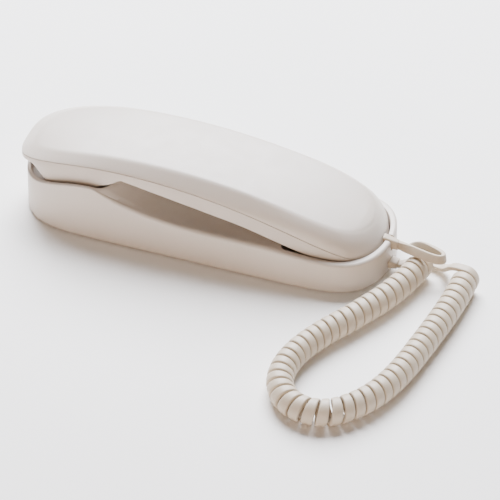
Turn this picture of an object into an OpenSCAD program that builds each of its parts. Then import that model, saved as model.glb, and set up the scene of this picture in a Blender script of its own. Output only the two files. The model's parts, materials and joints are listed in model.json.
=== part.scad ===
// Slimline wall telephone: a moulded cradle, a handset that lifts off it, and a coiled cord.
// The telephone lies on its back. X runs from the ear end to the mouth end, Y across, Z up.
// The origin is on the table, below the middle of the body. All sizes are in millimetres.

/* [Cradle] */
// Length of the cradle
base_len = 200; // [196:1:210]
// Width of the cradle half way along
base_w = 65; // [64:0.5:70]
// Share by which each 100 mm towards the mouth end widens the cradle
base_flare = 0.045; // [0.03:0.005:0.06]
// Wall of the cradle
base_wall = 2.2; // [1.8:0.1:2.6]
// Height of the rim at the ear tip
ear_rim_h = 24.3; // [23:0.1:26]
// Height of the rim where it arches beside the ear pocket
arch_rim_h = 33.5; // [32:0.1:35]
// Height of the rim beside the finger scoop
scoop_rim_h = 21.3; // [20.6:0.1:21.8]
// Height of the rim round the mouth pocket
mouth_rim_h = 18.4; // [17.8:0.1:19]
// Width of the rim round the ear pocket
ear_rim_w = 2; // [1.8:0.1:2.6]
// Width of the rim round the mouth pocket
mouth_rim_w = 2.2; // [2:0.1:2.6]
// Height of the ear pocket's floor
ear_floor_h = 17; // [16:0.1:18]
// Height of the mouth pocket's floor
mouth_floor_h = 8; // [7.5:0.1:9]
// How much deeper the scoop is in the middle than at its rims
scoop_dish = 1.2; // [0:0.1:2]

/* [Handset] */
// How far the handset's ear tip reaches past the cradle
ear_overhang = 2; // [1:0.5:4]
// Width of the handset half way along
hs_w = 56.8; // [55:0.2:58]
// Share by which each 100 mm towards the mouth end widens the handset
hs_flare = 0.05; // [0.03:0.005:0.06]
// Wall of both handset shells
hs_wall = 2; // [1.6:0.1:2.4]
// Height of the parting line at the top of the arch
part_peak_h = 44.3; // [43.8:0.1:46]
// Height of the parting line at the ear tip
part_ear_h = 33.8; // [32:0.2:35]
// Height of the parting line at the mouth tip
part_mouth_h = 14; // [13.4:0.2:15]
// Width of the rounded shoulder
shoulder_w = 6.3; // [5:0.1:7]
// Rise of the crown above the shoulders
crown_h = 1.2; // [0.6:0.1:2]
// Open seam between the two shells
seam = 0.3; // [0.2:0.05:0.5]
// Slope of the flat inner face, in degrees
face_tilt = 9.6; // [9.3:0.1:10]
// Height of the inner face half way along
face_h = 32.6; // [32:0.1:33]

/* [Keys] */
// Length of a number key, along the handset
key_l = 8; // [7:0.5:9]
// Width of a number key, across the handset
key_w = 11; // [9:0.5:12]
// Pitch of the keys along the handset
key_pitch_l = 13; // [12:0.5:14]
// Pitch of the keys across the handset
key_pitch_w = 15; // [14:0.5:15.5]
// How far a key stands out of the inner face
key_proud = 1.5; // [1:0.1:2]
// Travel of a key
key_travel = 1.2; // [0.8:0.1:1.4]
// Gap round a key in its window
key_gap = 0.3; // [0.25:0.05:0.4]

/* [Cord] */
// Width of the flat cord
cord_w = 4.9; // [4:0.1:5]
// Thickness of the flat cord
cord_t = 2.4; // [2:0.1:2.8]
// Outer diameter of the curls
curl_d = 14; // [13:0.5:14]
// Number of curls
curls = 52; // [44:1:54]
// Width of the ribbon within the curls
curl_w = 3.9; // [3.4:0.1:4]

/* [Fixings] */
// Distance between the two wall studs
stud_pitch = 82.55; // [80:0.05:84]
// Diameter of a keyhole's round entry
stud_entry_d = 9.5; // [9:0.1:10]
// Width of a keyhole's narrow slot
stud_slot_w = 4.6; // [4.2:0.1:5]
// Diameter of a screw's thread
screw_d = 2.9; // [2.5:0.1:3]
// Diameter of a screw's head
screw_head_d = 5.4; // [5:0.1:5.6]
// How far the rubber feet stand out
foot_proud = 0.6; // [0.4:0.1:1]

/* [Hidden] */
$fn = 48;
eps = 0.01;
// Clearances between pieces
rest_gap = 0.3;
tip_gap = 1.8;
notch_gap = 0.5;
fit_gap = 0.1;
lay_gap = 0.2;
run_gap = 0.05;

// Colours
abs_white = [0.86, 0.83, 0.80];
abs_base = [0.82, 0.79, 0.75];
key_grey = [0.74, 0.72, 0.69];
cord_cream = [0.85, 0.82, 0.78];
rubber_grey = [0.35, 0.34, 0.33];
steel = [0.7, 0.7, 0.72];
pcb_green = [0.16, 0.38, 0.22];
black_part = [0.12, 0.12, 0.13];
foam_grey = [0.28, 0.28, 0.3];

// ---- Cradle: plan and rim ----
base_x0 = -(base_len - ear_overhang) / 2;
base_x1 = base_x0 + base_len;
base_mid = (base_x0 + base_x1) / 2;
base_px = 8.8;
base_py = 1.9;
base_n = 38;
rim_lead = 3;
arch_x = base_x0 + 46;
scoop_x = base_mid + 24;
heel_x = base_x1 - 65;
mouth_x = base_x1 - 15;
scoop_power = 3;
arch_power = 1.5;
ear_rim_r = 0.9;
deck_rim_r = 2.2;
mouth_rim_r = 0.8;
rim_r_run = 18;
mouth_r_run = 30;
ridge_bulge = 14;
ridge_wall = 1.8;

function clamp01(t) = max(0, min(1, t));
function ease(t) = let(c = clamp01(t)) c * c * (3 - 2 * c);
function mix(a, b, t) = a + (b - a) * t;
// Half width of a blunt oval at x, for an oval of the given middle, half length and half width
function oval(x, mid, hl, hw, px, py) =
    hw * pow(max(0, 1 - pow(min(1, abs(x - mid) / hl), px)), 1 / py);
// Stations along an oval, close together at its ends
function stations(x0, x1, n) = [for (i = [0:n]) (x0 + x1) / 2 + (x1 - x0) / 2 * sin(180 * i / n - 90)];

function base_half(x, off) =
    oval(x, base_mid, base_len / 2 - off, base_w / 2 - off, base_px, base_py)
    * (1 + base_flare * (x - base_mid) / 100);

function rim_z(x) =
    x < arch_x
    ? mix(ear_rim_h, arch_rim_h, pow(sin(90 * clamp01((x - base_x0 - rim_lead)
        / (arch_x - base_x0 - rim_lead))), arch_power))
    : x < scoop_x
    ? mix(scoop_rim_h, arch_rim_h, pow((scoop_x - x) / (scoop_x - arch_x), scoop_power))
    : mix(scoop_rim_h, mouth_rim_h, ease((x - heel_x) / (mouth_x - heel_x)));

function rim_r(x) = mix(mix(ear_rim_r, deck_rim_r, ease((x - arch_x) / rim_r_run)), mouth_rim_r,
    ease((x - heel_x) / mouth_r_run));

// Height of the cradle's deck: the ridge bows towards the mouth end, round the ear pocket
function deck_z(x, t) =
    let(bulge = ridge_bulge * sqrt(max(0, 1 - t * t)),
        top = arch_x + bulge,
        sx = x < arch_x || x > scoop_x ? x
            : x < top ? arch_x
            : mix(arch_x, scoop_x, (x - top) / (scoop_x - top)),
        dish = scoop_dish * (1 - t * t) * ease((x - top) / 20) * ease((heel_x - x) / 20))
    rim_z(sx) - dish;

// ---- Lofted closed forms ----
// rows: each row lists [x, half width, z] from one tip to the other, lowest row first.
// deck: for each inner station of the top row, the points between its near and far edge.
module skin(rows, deck = []) {
    n = len(rows[0]) - 1;
    ring = 2 * n;
    cols = len(deck) == 0 ? 0 : len(deck[0]);
    points = concat(
        [for (row = rows) each concat(
            [for (p = row) [p[0], -p[1], p[2]]],
            [for (i = [n - 1:-1:1]) [row[i][0], row[i][1], row[i][2]]])],
        [for (d = deck) each d]);
    top = (len(rows) - 1) * ring;
    first = len(rows) * ring;
    walls = [for (r = [0:len(rows) - 2]) for (k = [0:ring - 1])
        let(a = r * ring + k, b = r * ring + (k + 1) % ring) each [[a, a + ring, b + ring], [a, b + ring, b]]];
    bottom = [for (i = [0:n - 1]) each strip(cell(i, 0, n, 0, 0, 0), cell(i, 1, n, 0, 0, 0),
        cell(i + 1, 0, n, 0, 0, 0), cell(i + 1, 1, n, 0, 0, 0), false)];
    lid = [for (i = [0:n - 1]) for (c = [0:cols]) each strip(cell(i, c, n, top, first, cols),
        cell(i, c + 1, n, top, first, cols), cell(i + 1, c, n, top, first, cols),
        cell(i + 1, c + 1, n, top, first, cols), true)];
    polyhedron(points, concat(walls, bottom, lid), convexity = 8);
}
// Index of column c at station i: the near edge, a deck point or the far edge
function cell(i, c, n, top, first, cols) =
    i == 0 ? top
    : i == n ? top + n
    : c == 0 ? top + i
    : c == cols + 1 ? top + 2 * n - i
    : first + (i - 1) * cols + c - 1;
function strip(a, b, c, d, up) = [for (f = [[a, b, d], [a, d, c]])
    if (f[0] != f[1] && f[1] != f[2] && f[0] != f[2]) up ? f : [f[0], f[2], f[1]]];

// ---- Cradle forms ----
base_z0 = foot_proud;
foot_edge = 0.8;
deck_cols = 7;
rim_steps = 3;
function base_row(off, z_of) = [for (x = stations(base_x0 + off, base_x1 - off, base_n))
    [x, base_half(x, off), z_of(x)]];
function base_rim_row(a, off, drop) = [for (i = [0:base_n])
    let(u = sin(180 * i / base_n - 90),
        r = rim_r(base_mid + (base_len / 2) * u),
        o = off + r * (1 - cos(a)),
        x = base_mid + (base_len / 2 - o) * u)
    [x, base_half(x, o), rim_z(x) - drop - r * (1 - sin(a))]];
function base_deck(off, drop) = let(edge = base_rim_row(90, off, drop))
    [for (i = [1:base_n - 1]) [for (c = [1:deck_cols])
        let(t = -1 + 2 * c / (deck_cols + 1)) [edge[i][0], t * edge[i][1], deck_z(edge[i][0], t) - drop]]];

module cradle_outside() {
    skin(concat(
        [base_row(foot_edge, function(x) base_z0)],
        [base_row(foot_edge / 4, function(x) base_z0 + foot_edge / 2)],
        [base_row(0, function(x) base_z0 + 2 * foot_edge)],
        [for (k = [0:rim_steps]) base_rim_row(90 * k / rim_steps, 0, 0)]),
        base_deck(0, 0));
}
module cradle_inside() {
    skin(concat(
        [base_row(base_wall, function(x) base_z0 - 1)],
        [for (a = [30, 60, 90]) base_rim_row(a, base_wall, base_wall)]),
        base_deck(base_wall, base_wall));
}

// Plan of the pocket that takes the handset's ear boss: the cradle's outline with a round inner end
ear_end_x = arch_x + ridge_bulge - ridge_wall;
ear_knee_x = arch_x + 2;
mouth_end_x = heel_x + 10;
mouth_knee_x = mouth_end_x + 6;
pocket_n = 28;
function ear_pocket_half(x, off) = x < ear_knee_x ? base_half(x, ear_rim_w + off)
    : base_half(ear_knee_x, ear_rim_w + off)
        * sqrt(max(0, 1 - pow((x - ear_knee_x) / (ear_end_x - off - ear_knee_x), 2)));
function mouth_pocket_half(x, off) = x > mouth_knee_x ? base_half(x, mouth_rim_w + off)
    : base_half(mouth_knee_x, mouth_rim_w + off)
        * sqrt(max(0, 1 - pow((mouth_knee_x - x) / (mouth_knee_x - mouth_end_x - off), 2)));
module plan(xs, half_of) {
    near = [for (x = xs) [x, -half_of(x)]];
    far = [for (i = [len(xs) - 2:-1:1]) [xs[i], half_of(xs[i])]];
    polygon(concat(near, far));
}
module ear_pocket(off, z0) {
    translate([0, 0, z0])
        linear_extrude(arch_rim_h + 5 - z0)
            plan(stations(base_x0 + ear_rim_w + off, ear_end_x - off, pocket_n),
                function(x) ear_pocket_half(x, off));
}
module mouth_pocket(off, z0) {
    translate([0, 0, z0])
        linear_extrude(arch_rim_h - z0)
            plan(stations(mouth_end_x + off, base_x1 - mouth_rim_w - off, pocket_n),
                function(x) mouth_pocket_half(x, off));
}

// ---- Places of the cradle's fittings ----
plate_t = 2.2;
plate_top = base_z0 + plate_t;
base_screw_x = [base_x0 + 17, mouth_end_x - 11];
base_screw_spots = [[base_screw_x[0], 18], [base_screw_x[0], -18], [base_screw_x[1], 22], [base_screw_x[1], -22]];
foot_spots = [[base_x0 + 12, 10], [base_x0 + 12, -10], [base_x1 - 20, 19.5], [base_x1 - 20, -19.5]];
foot_d = 9;
foot_t = 1.2;
boss_d = 6.4;
seat_d = 8;
base_screw_l = 11;
hs_screw_l = 11;
base_seat_h = 1.5;
head_sunk = 2;
screw_pilot = screw_d + 2 * run_gap;
screw_hole = screw_d + 0.5;
screw_head_t = 1.8;
stud_slot_l = 9;

plunger_at = [arch_x - 3, 13];
plunger_d = 5;
plunger_travel = 4;
plunger_flange_d = 10;
plunger_flange_t = 1;
plunger_flange_z = ear_floor_h - base_wall - plunger_travel - plunger_flange_t - lay_gap;
plunger_tip_z = ear_floor_h + rest_gap - 0.15;
spring_d = 7.2;

board_t = 1.6;
board_z = plate_top + 0.6;
board_boss_gap = 5.8;
board_x = [-30, base_screw_x[1] - boss_d / 2 - board_boss_gap];
board_w = 54;
jack_x = 10;
jack_w = 13;
jack_h = 8;
jack_d = 13;
jack_mouth_w = 9.7;
jack_mouth_h = 6.6;
jack_y1 = min([for (s = [-1, 1]) base_half(jack_x + s * jack_w / 2, base_wall)]) - 2 * lay_gap;
jack_z = board_z + board_t;
knob_x = -15;
knob_z = board_z + board_t + 3;
knob_l = 4;
knob_h = 2.4;
knob_travel = 2;
knob_recess = 0.8;
knob_y1 = base_half(knob_x, 0) - 0.2;

// Cord exits
hs_exit_z = 16.2;
relief_h = 6.4;
relief_w = 4.6;
relief_end_x = base_x1 + 3;
relief_droop = 1.2;
notch_w = relief_w + 2 * notch_gap;
notch_z = hs_exit_z - relief_h / 2 - relief_droop + rest_gap;
notch_in = 4;
base_exit = [base_x1, -3, 5.2];
base_relief_l = 4;
base_relief_h = 4.2;
base_relief_w = 6.8;
relief_flange_h = 2.6;
relief_flange_t = 1.2;
relief_depth = base_wall + 1.2;
relief_flange_drop = base_exit[2] - plate_top - lay_gap - relief_flange_h / 2;

sounder_at = [base_x0 + 27, 0];
sounder_d = 24;
sounder_h = 5.5;
module cradle_shell() {
    color(abs_base)
    difference() {
        union() {
            difference() {
                cradle_outside();
                difference() {
                    cradle_inside();
                    ear_pocket(-base_wall, ear_floor_h - base_wall);
                    mouth_pocket(-base_wall, mouth_floor_h - base_wall);
                }
            }
            // Screw bosses hang from the deck
            intersection() {
                translate([0, 0, -eps]) cradle_outside();
                for (p = base_screw_spots)
                    translate([p[0], p[1], plate_top + base_seat_h + run_gap]) cylinder(d = boss_d, h = arch_rim_h);
            }
        }
        ear_pocket(0, ear_floor_h);
        mouth_pocket(0, mouth_floor_h);
        for (p = base_screw_spots)
            translate([p[0], p[1], plate_top]) cylinder(d = screw_pilot, h = base_screw_l);
        translate([plunger_at[0], plunger_at[1], 0]) cylinder(d = plunger_d + 2 * run_gap, h = arch_rim_h);
        // Line socket and ringer switch, in the side away from the cord
        translate([jack_x - jack_mouth_w / 2, 0, jack_z + 0.7])
            cube([jack_mouth_w, base_w, jack_mouth_h]);
        translate([knob_x - knob_l / 2 - knob_travel - key_gap, 0, knob_z - knob_h / 2 - key_gap])
            cube([knob_l + 2 * (knob_travel + key_gap), base_w, knob_h + 2 * key_gap]);
        translate([knob_x - 6, base_half(knob_x, knob_recess), knob_z - 2.6]) cube([12, 4, 5.2]);
        // Notch in the rim for the handset's cord, and the hole for the cradle's own
        translate([base_x1 - mouth_rim_w - notch_in, -notch_w / 2, notch_z]) cube([notch_in * 3, notch_w, mouth_rim_h]);
        translate([base_x1 - relief_depth - fit_gap, base_exit[1] - base_relief_w / 2, base_exit[2] - base_relief_h / 2])
            cube([relief_depth * 2, base_relief_w, base_relief_h]);
    }
}

module back_plate() {
    color(abs_base)
    difference() {
        union() {
            translate([0, 0, base_z0])
                linear_extrude(plate_t)
                    plan(stations(base_x0 + base_wall + lay_gap, base_x1 - base_wall - lay_gap, pocket_n),
                        function(x) base_half(x, base_wall + lay_gap));
            // Seats for the circuit board, the sounder and the hook spring
            for (x = [board_x[0] + 4, board_x[1] - 4], y = [-1, 1])
                translate([x, y * (board_w / 2 - 4), plate_top - eps]) cylinder(d = 5, h = board_z - plate_top);
            for (p = base_screw_spots)
                translate([p[0], p[1], plate_top - eps]) cylinder(d = seat_d, h = base_seat_h);
            translate([sounder_at[0], sounder_at[1], plate_top - eps])
                difference() {
                    cylinder(d = sounder_d + 2.4 + 2 * lay_gap, h = 3);
                    translate([0, 0, -1]) cylinder(d = sounder_d + 2 * lay_gap, h = 5);
                }
            translate([plunger_at[0], plunger_at[1], plate_top - eps])
                cylinder(d = plunger_d - 0.4, h = 1.2);
        }
        for (p = base_screw_spots)
            translate([p[0], p[1], base_z0 - 1]) {
                cylinder(d = screw_hole, h = 9);
                cylinder(d = screw_head_d + 0.6, h = 1 + head_sunk);
            }
        for (p = foot_spots)
            translate([p[0], p[1], base_z0 - 1]) cylinder(d = foot_d + 2 * fit_gap, h = 1 + foot_t - foot_proud);
        for (s = [-1, 1])
            translate([s * stud_pitch / 2, 0, base_z0 - 1]) keyhole();
        // Sound slots below the sounder
        for (k = [-2:2])
            translate([sounder_at[0] + 3.2 * k, 0, base_z0 + 1])
                cube([1.5, 14 - 2.4 * abs(k), 4], center = true);
    }
}

// Round entry for a stud's head, and a narrow slot towards the ear end that hangs on it
module keyhole() {
    cylinder(d = stud_entry_d, h = 5);
    translate([-stud_slot_l, -stud_slot_w / 2, 0]) cube([stud_slot_l, stud_slot_w, 5]);
    translate([-stud_slot_l, 0, 0]) cylinder(d = stud_slot_w, h = 5);
}

module rubber_feet() {
    color(rubber_grey)
    for (p = foot_spots)
        translate([p[0], p[1], 0]) cylinder(d = foot_d, h = foot_t);
}

module pan_screw(l) {
    cylinder(d = screw_d, h = l);
    difference() {
        cylinder(d = screw_head_d, h = screw_head_t);
        for (a = [0, 90])
            rotate(a) translate([-1.5, -0.3, -eps]) cube([3, 0.6, 0.8]);
    }
}
module cradle_screws() {
    color(steel)
    for (p = base_screw_spots)
        translate([p[0], p[1], base_z0 + head_sunk - screw_head_t]) pan_screw(base_screw_l);
}

module ringer_sounder() {
    color(black_part)
    translate([sounder_at[0], sounder_at[1], plate_top + eps])
        difference() {
            cylinder(d = sounder_d, h = sounder_h);
            translate([0, 0, sounder_h - 1]) cylinder(d = 5, h = 2);
        }
}

module hook_plunger() {
    color(key_grey)
    translate([plunger_at[0], plunger_at[1], 0]) {
        translate([0, 0, plunger_flange_z - 2]) cylinder(d = plunger_d, h = plunger_tip_z - plunger_flange_z);
        translate([0, 0, plunger_tip_z - 2]) cylinder(d1 = plunger_d, d2 = plunger_d - 2, h = 2);
        translate([0, 0, plunger_flange_z]) cylinder(d = plunger_flange_d, h = plunger_flange_t);
    }
}
module hook_spring() {
    color(steel)
    translate([plunger_at[0], plunger_at[1], plate_top + eps])
        difference() {
            cylinder(d = spring_d, h = plunger_flange_z - plate_top - lay_gap);
            translate([0, 0, -1]) cylinder(d = plunger_d + 0.6, h = 20);
        }
}
switch_w = 5.8;
switch_l = 12.8;
switch_h = 5.4;
leaf_reach = 1.8;
module hook_switch() {
    color(black_part)
    translate([plunger_at[0] + plunger_flange_d / 2 + 0.8, plunger_at[1] - switch_l / 2, plate_top + eps]) {
        cube([switch_w, switch_l, switch_h]);
        // Leaf that reaches below the plunger's flange
        translate([switch_w - 2, switch_l / 2 - 1, switch_h - eps]) cube([1, 2, 0.8]);
        translate([-leaf_reach, switch_l / 2 - 1, switch_h + 0.5]) cube([switch_w + leaf_reach - 1, 2, 0.3]);
    }
}

module base_board() {
    color(pcb_green)
    translate([board_x[0], -board_w / 2, board_z])
        cube([board_x[1] - board_x[0], board_w, board_t]);
}
module line_jack() {
    color(black_part)
    translate([jack_x - jack_w / 2, jack_y1 - jack_d, jack_z])
        difference() {
            cube([jack_w, jack_d, jack_h]);
            translate([(jack_w - jack_mouth_w) / 2, 3, 0.7]) cube([jack_mouth_w, jack_d, jack_mouth_h]);
        }
}
module line_contacts() {
    color([0.85, 0.7, 0.35])
    for (k = [-1.5:1:1.5])
        translate([jack_x + 1.27 * k - 0.25, jack_y1 - jack_d + 3, jack_z + 0.7])
            rotate([25, 0, 0]) translate([0, 0.1, 0.1]) cube([0.5, 6, 0.4]);
}
module ringer_switch() {
    color(black_part)
    translate([knob_x - 5, knob_y1 - 10, board_z + board_t]) cube([10, 5.4, 5.6]);
}
module ringer_knob() {
    color(key_grey)
    translate([knob_x, 0, knob_z]) {
        translate([-knob_l / 2, knob_y1 - 4, -knob_h / 2]) cube([knob_l, 4, knob_h]);
        translate([-knob_l / 2 - 1, knob_y1 - 4.2, -knob_h / 2 - 0.8]) cube([knob_l + 2, 1, knob_h + 1.6]);
    }
}
module cradle_relief() {
    color(abs_white)
    translate([base_exit[0], base_exit[1], base_exit[2]])
        rotate([0, 90, 0]) {
            translate([0, 0, -relief_depth])
                relief_block(base_relief_h - 2 * fit_gap, base_relief_w - 2 * fit_gap, relief_depth);
            translate([relief_flange_drop, 0, -relief_depth - relief_flange_t])
                relief_block(relief_flange_h, base_relief_w + 2, relief_flange_t + eps);
            relief_taper(base_relief_h - 2 * fit_gap, base_relief_w - 2 * fit_gap,
                cord_t + 1, cord_w + 1, base_relief_l, 0);
        }
}
// A strain relief's parts have rounded corners: h runs up, w across and l along the cord
module relief_block(h, w, l) {
    linear_extrude(l) rounded(h, w, 1);
}
module relief_taper(h0, w0, h1, w1, l, droop) {
    hull() {
        linear_extrude(eps) rounded(h0, w0, 1);
        translate([droop, 0, l - eps]) linear_extrude(eps) rounded(h1, w1, 1);
    }
}
module rounded(a, b, r) {
    for (s = [[a - 2 * r, b], [a, b - 2 * r]]) square(s, center = true);
    for (x = [-1, 1], y = [-1, 1])
        translate([x * (a / 2 - r), y * (b / 2 - r)]) circle(r = r, $fn = 24);
}

// ---- Handset: plan, parting line and inner face ----
hs_x0 = base_x0 - ear_overhang;
hs_x1 = base_x1 - mouth_rim_w - tip_gap;
hs_mid = (hs_x0 + hs_x1) / 2;
hs_px = 6;
hs_py = 3.25;
hs_n = 36;
peak_x = hs_mid - 36;
shoulder_end = 60;
shoulder_steps = 5;
crown_cols = 5;
function hs_half(x, off) = min(
    oval(x, hs_mid, (hs_x1 - hs_x0) / 2 - off, hs_w / 2 - off, hs_px, hs_py)
        * (1 + hs_flare * (x - hs_mid) / 100),
    base_half(x, mouth_rim_w + tip_gap + off) + (x < base_mid ? base_w : 0));
function part_z(x) = x < peak_x
    ? part_peak_h - (part_peak_h - part_ear_h) * pow((peak_x - x) / (peak_x - hs_x0), 2)
    : part_peak_h - (part_peak_h - part_mouth_h) * pow((x - peak_x) / (hs_x1 - peak_x), 2);
shoulder_mid_h = 6.95;
shoulder_gain = 0.044;
function shoulder_h(x) = max(2, shoulder_mid_h + shoulder_gain * (x - base_mid));
function face_z(x) = face_h - tan(face_tilt) * (x - base_mid);
edge_min = 3.5;
// The side wall's lower edge leaves the flat face at both ends: it dips into the two pockets
heel_bend_x = base_mid + 28;
heel_bend_r = 5;
heel_slope = 0.11;
heel_dip_max = 4.4;
ear_dip_max = 11;
ear_dip_x0 = base_x0 + 7;
ear_dip_x1 = arch_x + 15;
ear_dip_run = [14, 20];
function heel_dip(x) = let(d = x - heel_bend_x)
    min(heel_dip_max, heel_slope * (norm([d, heel_bend_r]) + d) / 2);
function ear_dip(x) = ear_dip_max * ease((x - ear_dip_x0) / ear_dip_run[0])
    * ease((ear_dip_x1 - x) / ear_dip_run[1]);
function edge_z(x) = min(face_z(x) - heel_dip(x), part_z(x) - edge_min) - ear_dip(x);
function hs_row(off, z_of) = [for (x = stations(hs_x0 + off, hs_x1 - off, hs_n)) [x, hs_half(x, off), z_of(x)]];

module upper_form(off, top_drop, z_low) {
    rows = concat(
        [hs_row(off, function(x) part_z(x) + z_low)],
        [for (k = [1:shoulder_steps])
            let(a = shoulder_end * k / shoulder_steps,
                o = off + shoulder_w * (1 - cos(a)) / (1 - cos(shoulder_end)))
            hs_row(o, function(x) part_z(x) + shoulder_h(x) * sin(a) / sin(shoulder_end)
                - top_drop * k / shoulder_steps)]);
    edge = rows[shoulder_steps];
    deck = [for (i = [1:hs_n - 1]) [for (c = [1:crown_cols])
        let(t = -1 + 2 * c / (crown_cols + 1))
        [edge[i][0], t * edge[i][1], edge[i][2] + crown_h * (1 - t * t) * min(1, edge[i][1] / 14)]]];
    skin(rows, deck);
}
// The ear and mouth bosses stand down from the inner face into the cradle's pockets.
// Each: first x, last x and half width, at its root and at its foot.
ear_boss = [hs_x0 + 2, ear_end_x - 1.7, 25.5];
ear_boss_foot = [hs_x0 + 12.5, ear_end_x - 3.5, 22.5];
mouth_boss = [mouth_end_x + 1.5, hs_x1 - 0.6, 27];
mouth_boss_foot = [mouth_end_x + 3.5, hs_x1 - 2.5, 23];

key_row_gap = 7.5;
key_row_x = ear_boss[1] + key_l / 2 + key_row_gap;
key_names = ["key_1", "key_2", "key_3", "key_4", "key_5", "key_6", "key_7", "key_8", "key_9",
    "key_star", "key_0", "key_hash", "key_flash", "key_redial", "key_mute"];
small_key_l = 5;
small_key_gap = 2;
// Each key: place along and across the face, length and width. Seen from the front, right is -Y.
key_spots = concat(
    [for (i = [0:11]) [key_row_x + key_pitch_l * floor(i / 3), key_pitch_w * (1 - i % 3), key_l, key_w]],
    [for (i = [0:2]) [key_row_x + key_pitch_l * 4 + small_key_gap, key_pitch_w * (1 - i), small_key_l, key_w]]);
key_flange = 0.8;
key_flange_t = 1;
key_flange_z = hs_wall + 0.25;
key_r = 1.2;
membrane_z = key_flange_z + key_flange_t + key_travel + 0.1;
membrane_t = 0.8;
pad_x0 = key_row_x - 7;
pad_l = key_pitch_l * 4 + small_key_gap + 12;
pad_w = 2 * key_pitch_w + key_w + 2;
pcb_l = pad_l + 6;
// Posts in both shells hold the board and the membrane between them, in gaps between the keys
board_posts = [key_row_x + key_pitch_l / 2, key_row_x + key_pitch_l * 3.5 + 1.5];
post_y = key_pitch_w + 4;
post_d = 2.4;
module handset_back_shell() {
    color(abs_white)
    difference() {
        union() {
            difference() {
                upper_form(0, 0, seam / 2);
                upper_form(hs_wall, hs_wall, hollow_low);
            }
            intersection() {
                upper_form(0.5, 0.5, -40);
                union() {
                    for (p = hs_screw_spots)
                        translate([p[0], p[1], p[2] + hs_seat_h + run_gap]) cylinder(d = boss_d, h = 60);
                    for (x = board_posts, y = [-post_y, post_y])
                        on_face(x, y) translate([0, 0, membrane_z + membrane_t + board_t + lay_gap])
                            cylinder(d = post_d, h = 60);
                }
            }
        }
        for (p = hs_screw_spots)
            translate([p[0], p[1], p[2]]) cylinder(d = screw_pilot, h = hs_screw_l + 1);
        relief_hole();
    }
}
module relief_hole() {
    translate([hs_x1 - 8, -relief_w / 2 - fit_gap, hs_exit_z - relief_h / 2 - fit_gap])
        cube([12, relief_w + 2 * fit_gap, relief_h + 2 * fit_gap]);
}

ear_boss_z = ear_floor_h + rest_gap;
mouth_boss_z = mouth_floor_h + rest_gap;
boss_n = 22;
boss_px = 2.8;
boss_py = 2.2;
boss_r = 1.5;
function boss_half(x, b) = min(oval(x, (b[0] + b[1]) / 2, (b[1] - b[0]) / 2, b[2], boss_px, boss_py),
    hs_half(x, 0.6));
function boss_row(b, z_of) = [for (x = stations(b[0], b[1], boss_n)) [x, boss_half(x, b), z_of(x)]];
function shrink(b, d) = [b[0] + d, b[1] - d, b[2] - d];
module boss_form(top, foot, foot_z, sink) {
    low = shrink(foot, sink);
    skin(concat(
        [boss_row(shrink(low, boss_r), function(x) foot_z + sink)],
        [boss_row(shrink(low, boss_r * 0.3), function(x) foot_z + sink + boss_r * 0.3)],
        [boss_row(low, function(x) foot_z + sink + boss_r)],
        [boss_row(shrink(top, sink), function(x) edge_z(x) + 1 + sink)]));
}
module lower_form(off, lift, z_high) {
    skin([
        hs_row(off + 1.3, function(x) edge_z(x) + lift),
        hs_row(off + 0.5, function(x) edge_z(x) + 0.35 + lift),
        hs_row(off + 0.1, function(x) edge_z(x) + 1.2 + lift),
        hs_row(off, function(x) part_z(x) + z_high)]);
}
lip_in = 1.1;
lip_up = 1.6;
lip_down = 2;
lip_root = 0.5;
hollow_low = -2;
module front_body() {
    lower_form(0, 0, -seam / 2);
    boss_form(ear_boss, ear_boss_foot, ear_boss_z, 0);
    boss_form(mouth_boss, mouth_boss_foot, mouth_boss_z, 0);
}
module front_hollow() {
    lower_form(hs_wall, hs_wall, 2);
    boss_form(ear_boss, ear_boss_foot, ear_boss_z, hs_wall);
    boss_form(mouth_boss, mouth_boss_foot, mouth_boss_z, hs_wall);
}
// Rooted in the front shell's wall, the lip stands up inside the back shell's
module seam_lip() {
    difference() {
        union() {
            skin([hs_row(hs_wall - lip_root, function(x) part_z(x) - lip_down),
                hs_row(hs_wall - lip_root, function(x) part_z(x) - seam)]);
            intersection() {
                upper_form(hs_wall + fit_gap, hs_wall + fit_gap, hollow_low);
                skin([hs_row(hs_wall, function(x) part_z(x) - 2 * seam),
                    hs_row(hs_wall, function(x) part_z(x) + lip_up)]);
            }
        }
        skin([hs_row(hs_wall + fit_gap + lip_in, function(x) part_z(x) - lip_down - 1),
            hs_row(hs_wall + fit_gap + lip_in, function(x) part_z(x) + lip_up + 1)]);
    }
}

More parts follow.
